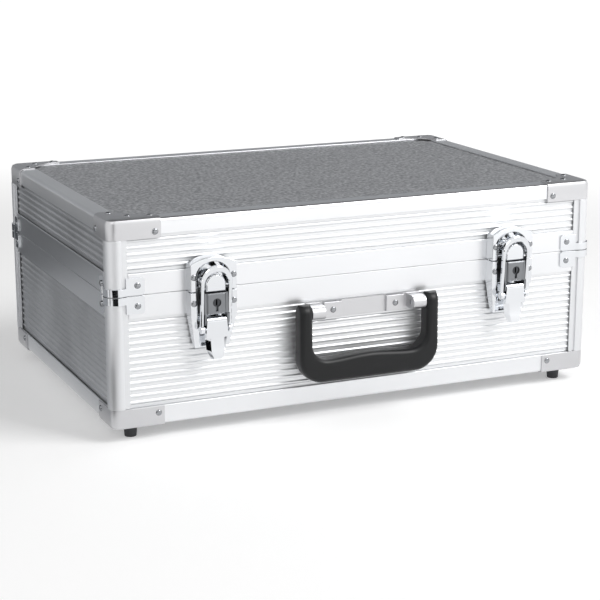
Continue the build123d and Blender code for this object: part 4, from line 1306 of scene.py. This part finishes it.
@dataclass
class Studio:
    """A pale floor, a white world, soft lamps, and cards for the metal to reflect."""

    floor_colour: str = "#f0f0f0"
    floor_size: float = 16.0
    card_level: float = 0.0015
    back_card: str = "#9a9c9f"
    side_card: str = "#9b9da0"
    far_card: str = "#4c4e51"
    flag: str = "#08080a"
    glow_near: float = 0.3
    glow_far: float = 0.75
    glow_from: float = 0.6
    glow_to: float = 1.5
    sky_light: float = 0.3
    key_watts: float = 43.0
    fill_watts: float = 5.0

    def build(self) -> None:
        """Make the world, the floor, the cards and the lamps."""
        self.world()
        self.floor()
        self.card("back_card", self.back_card, (0, 2.6, 1.9), (7.0, 0.0, 4.2))
        low = self.card_level
        self.card("side_card_near", self.side_card, (-0.82, 0.15, low), (1.2, 0.50, 0.0))
        self.card("side_card_far", self.far_card, (-0.82, 1.01, low), (1.2, 1.22, 0.0))
        self.card("left_flag", self.flag, (-0.95, -2.0, 0.6), (1.1, 0.0, 1.2))
        self.card("tab_flag", self.flag, (-0.25, -0.155, 0.028), (0.0, 0.06, 0.054))
        self.card("ceiling_flag", self.flag, (0.0, 0.55, 2.4), (5.0, 2.4, 0.0))
        self.card("left_floor_flag", self.flag, (-0.42, -0.52, low), (0.42, 0.22, 0.0))
        self.lamp("key_softbox", (1.3, -1.4, 1.9), 1.4, self.key_watts)
        self.lamp("fill_softbox", (-1.2, -1.6, 1.6), 1.2, self.fill_watts)

    @staticmethod
    def seen(tree: bpy.types.NodeTree) -> tuple:
        """Return a sum that is 1 for rays from the camera, a reflection or a clear surface."""
        ray = add(tree, "ShaderNodeLightPath").outputs
        both = ("MAXIMUM", ray["Is Camera Ray"], ray["Is Glossy Ray"])
        return ("MAXIMUM", both, ray["Is Transmission Ray"])

    def world(self) -> None:
        """White for the camera and for reflections, dimmer as light."""
        world = bpy.data.worlds.new("studio")
        bpy.context.scene.world = world
        tree = cleared(world)
        ends = {"Value": self.seen(tree), "To Min": self.sky_light, "To Max": 1.0}
        strength = add(tree, "ShaderNodeMapRange", ends)
        white = {"Color": (1, 1, 1, 1), "Strength": strength}
        back = add(tree, "ShaderNodeBackground", white)
        add(tree, "ShaderNodeOutputWorld", {"Surface": back})

    def floor(self) -> None:
        """A wide matt floor that keeps the shadow and reads white around the case."""
        material = bpy.data.materials.new("studio_floor")
        tree = cleared(material)
        matt = add(tree, "ShaderNodeBsdfDiffuse", {"Color": linear(self.floor_colour)})
        place = add(tree, "ShaderNodeTexCoord").outputs["Object"]
        away = add(tree, "ShaderNodeVectorMath", {0: place}, operation="LENGTH")
        ends = {
            "Value": away.outputs["Value"],
            "From Min": self.glow_from,
            "From Max": self.glow_to,
            "To Min": self.glow_near,
            "To Max": self.glow_far,
        }
        level = add(tree, "ShaderNodeMapRange", ends, interpolation_type="SMOOTHSTEP")
        white = {"Color": (1, 1, 1, 1), "Strength": ("MULTIPLY", self.seen(tree), level)}
        glow = add(tree, "ShaderNodeEmission", white)
        both = add(tree, "ShaderNodeAddShader", {0: matt, 1: glow})
        add(tree, "ShaderNodeOutputMaterial", {"Surface": both})
        size = (self.floor_size, self.floor_size, 0.0)
        self.sheet("studio_floor", (0, 0, 0), size, material)

    def card(self, title: str, colour: str, middle: Triple, size: Triple) -> None:
        """Stand a grey card where only reflections see it."""
        material = bpy.data.materials.new(title)
        tree = cleared(material)
        glow = add(tree, "ShaderNodeEmission", {"Color": linear(colour), "Strength": 1.0})
        add(tree, "ShaderNodeOutputMaterial", {"Surface": glow})
        made = self.sheet(title, middle, size, material)
        made.visible_camera = False
        made.visible_diffuse = False
        made.visible_shadow = False

    @staticmethod
    def sheet(
        title: str, middle: Triple, size: Triple, material: bpy.types.Material
    ) -> bpy.types.Object:
        """Make one flat stage sheet. The size that is 0 is its thickness."""
        a, b = (on_axis(axis, size[axis] / 2) for axis in range(3) if size[axis])
        here = Vector(middle)
        corners = [tuple(here + p) for p in (-a - b, a - b, a + b, b - a)]
        mesh = bpy.data.meshes.new(title)
        mesh.from_pydata(corners, [], [(0, 1, 2, 3)])
        mesh.materials.append(material)
        made = placed(title, mesh)
        return made

    @staticmethod
    def lamp(title: str, place: Triple, size: float, watts: float) -> None:
        """Hang one square soft lamp that faces the case."""
        data = bpy.data.lights.new(title, "AREA")
        data.shape = "SQUARE"
        data.size = size
        data.energy = watts
        aim = (Vector((0, 0, 0.08)) - Vector(place)).to_track_quat("-Z", "Y")
        made = placed(title, data)
        made.matrix_world = Matrix.Translation(place) @ aim.to_matrix().to_4x4()


@dataclass
class CameraCase:
    """The whole case, made in the order in which it is put together."""

    plan: RivetPlan

    def build(self) -> None:
        """Build every sub-assembly and rivet the case."""
        SoftLining().build()
        ShellFrame().build()
        WallBoards().build()
        dress("top_corner_caps", Body.LID, "cap_steel", NICKEL, 0.2)
        dress("bottom_corner_caps", Body.BASE, "cap_steel", NICKEL, 0.2)
        dress("lid_corner_brackets", Body.LID, "chromed", CHROME, 0.3)
        dress("base_corner_brackets", Body.BASE, "chromed", CHROME, 0.3)
        dress("rubber_feet", Body.BASE, "rubber", RUBBER, 0.3)
        paint_node("foot_screws", POLISHED)
        paint_node("lever_pins", POLISHED)
        for side in ("left", "right"):
            ToggleLatch(side).build()
        CarryHandle().build()
        RearHinges().build()
        DomeRivets("lid_dome_rivets", Body.LID, "lid_rivets", self.plan.places(True)).build()
        DomeRivets("base_dome_rivets", Body.BASE, "base_rivets", self.plan.places(False)).build()


def main() -> None:
    """Set up the view and the light, and build the case."""
    logging.basicConfig(level=logging.INFO, format="%(message)s")
    bpy.context.scene.view_settings.view_transform = "Standard"
    PhotoCamera().build()
    Studio().build()
    CameraCase(RivetPlan()).build()


if __name__ == "__main__":
    main()
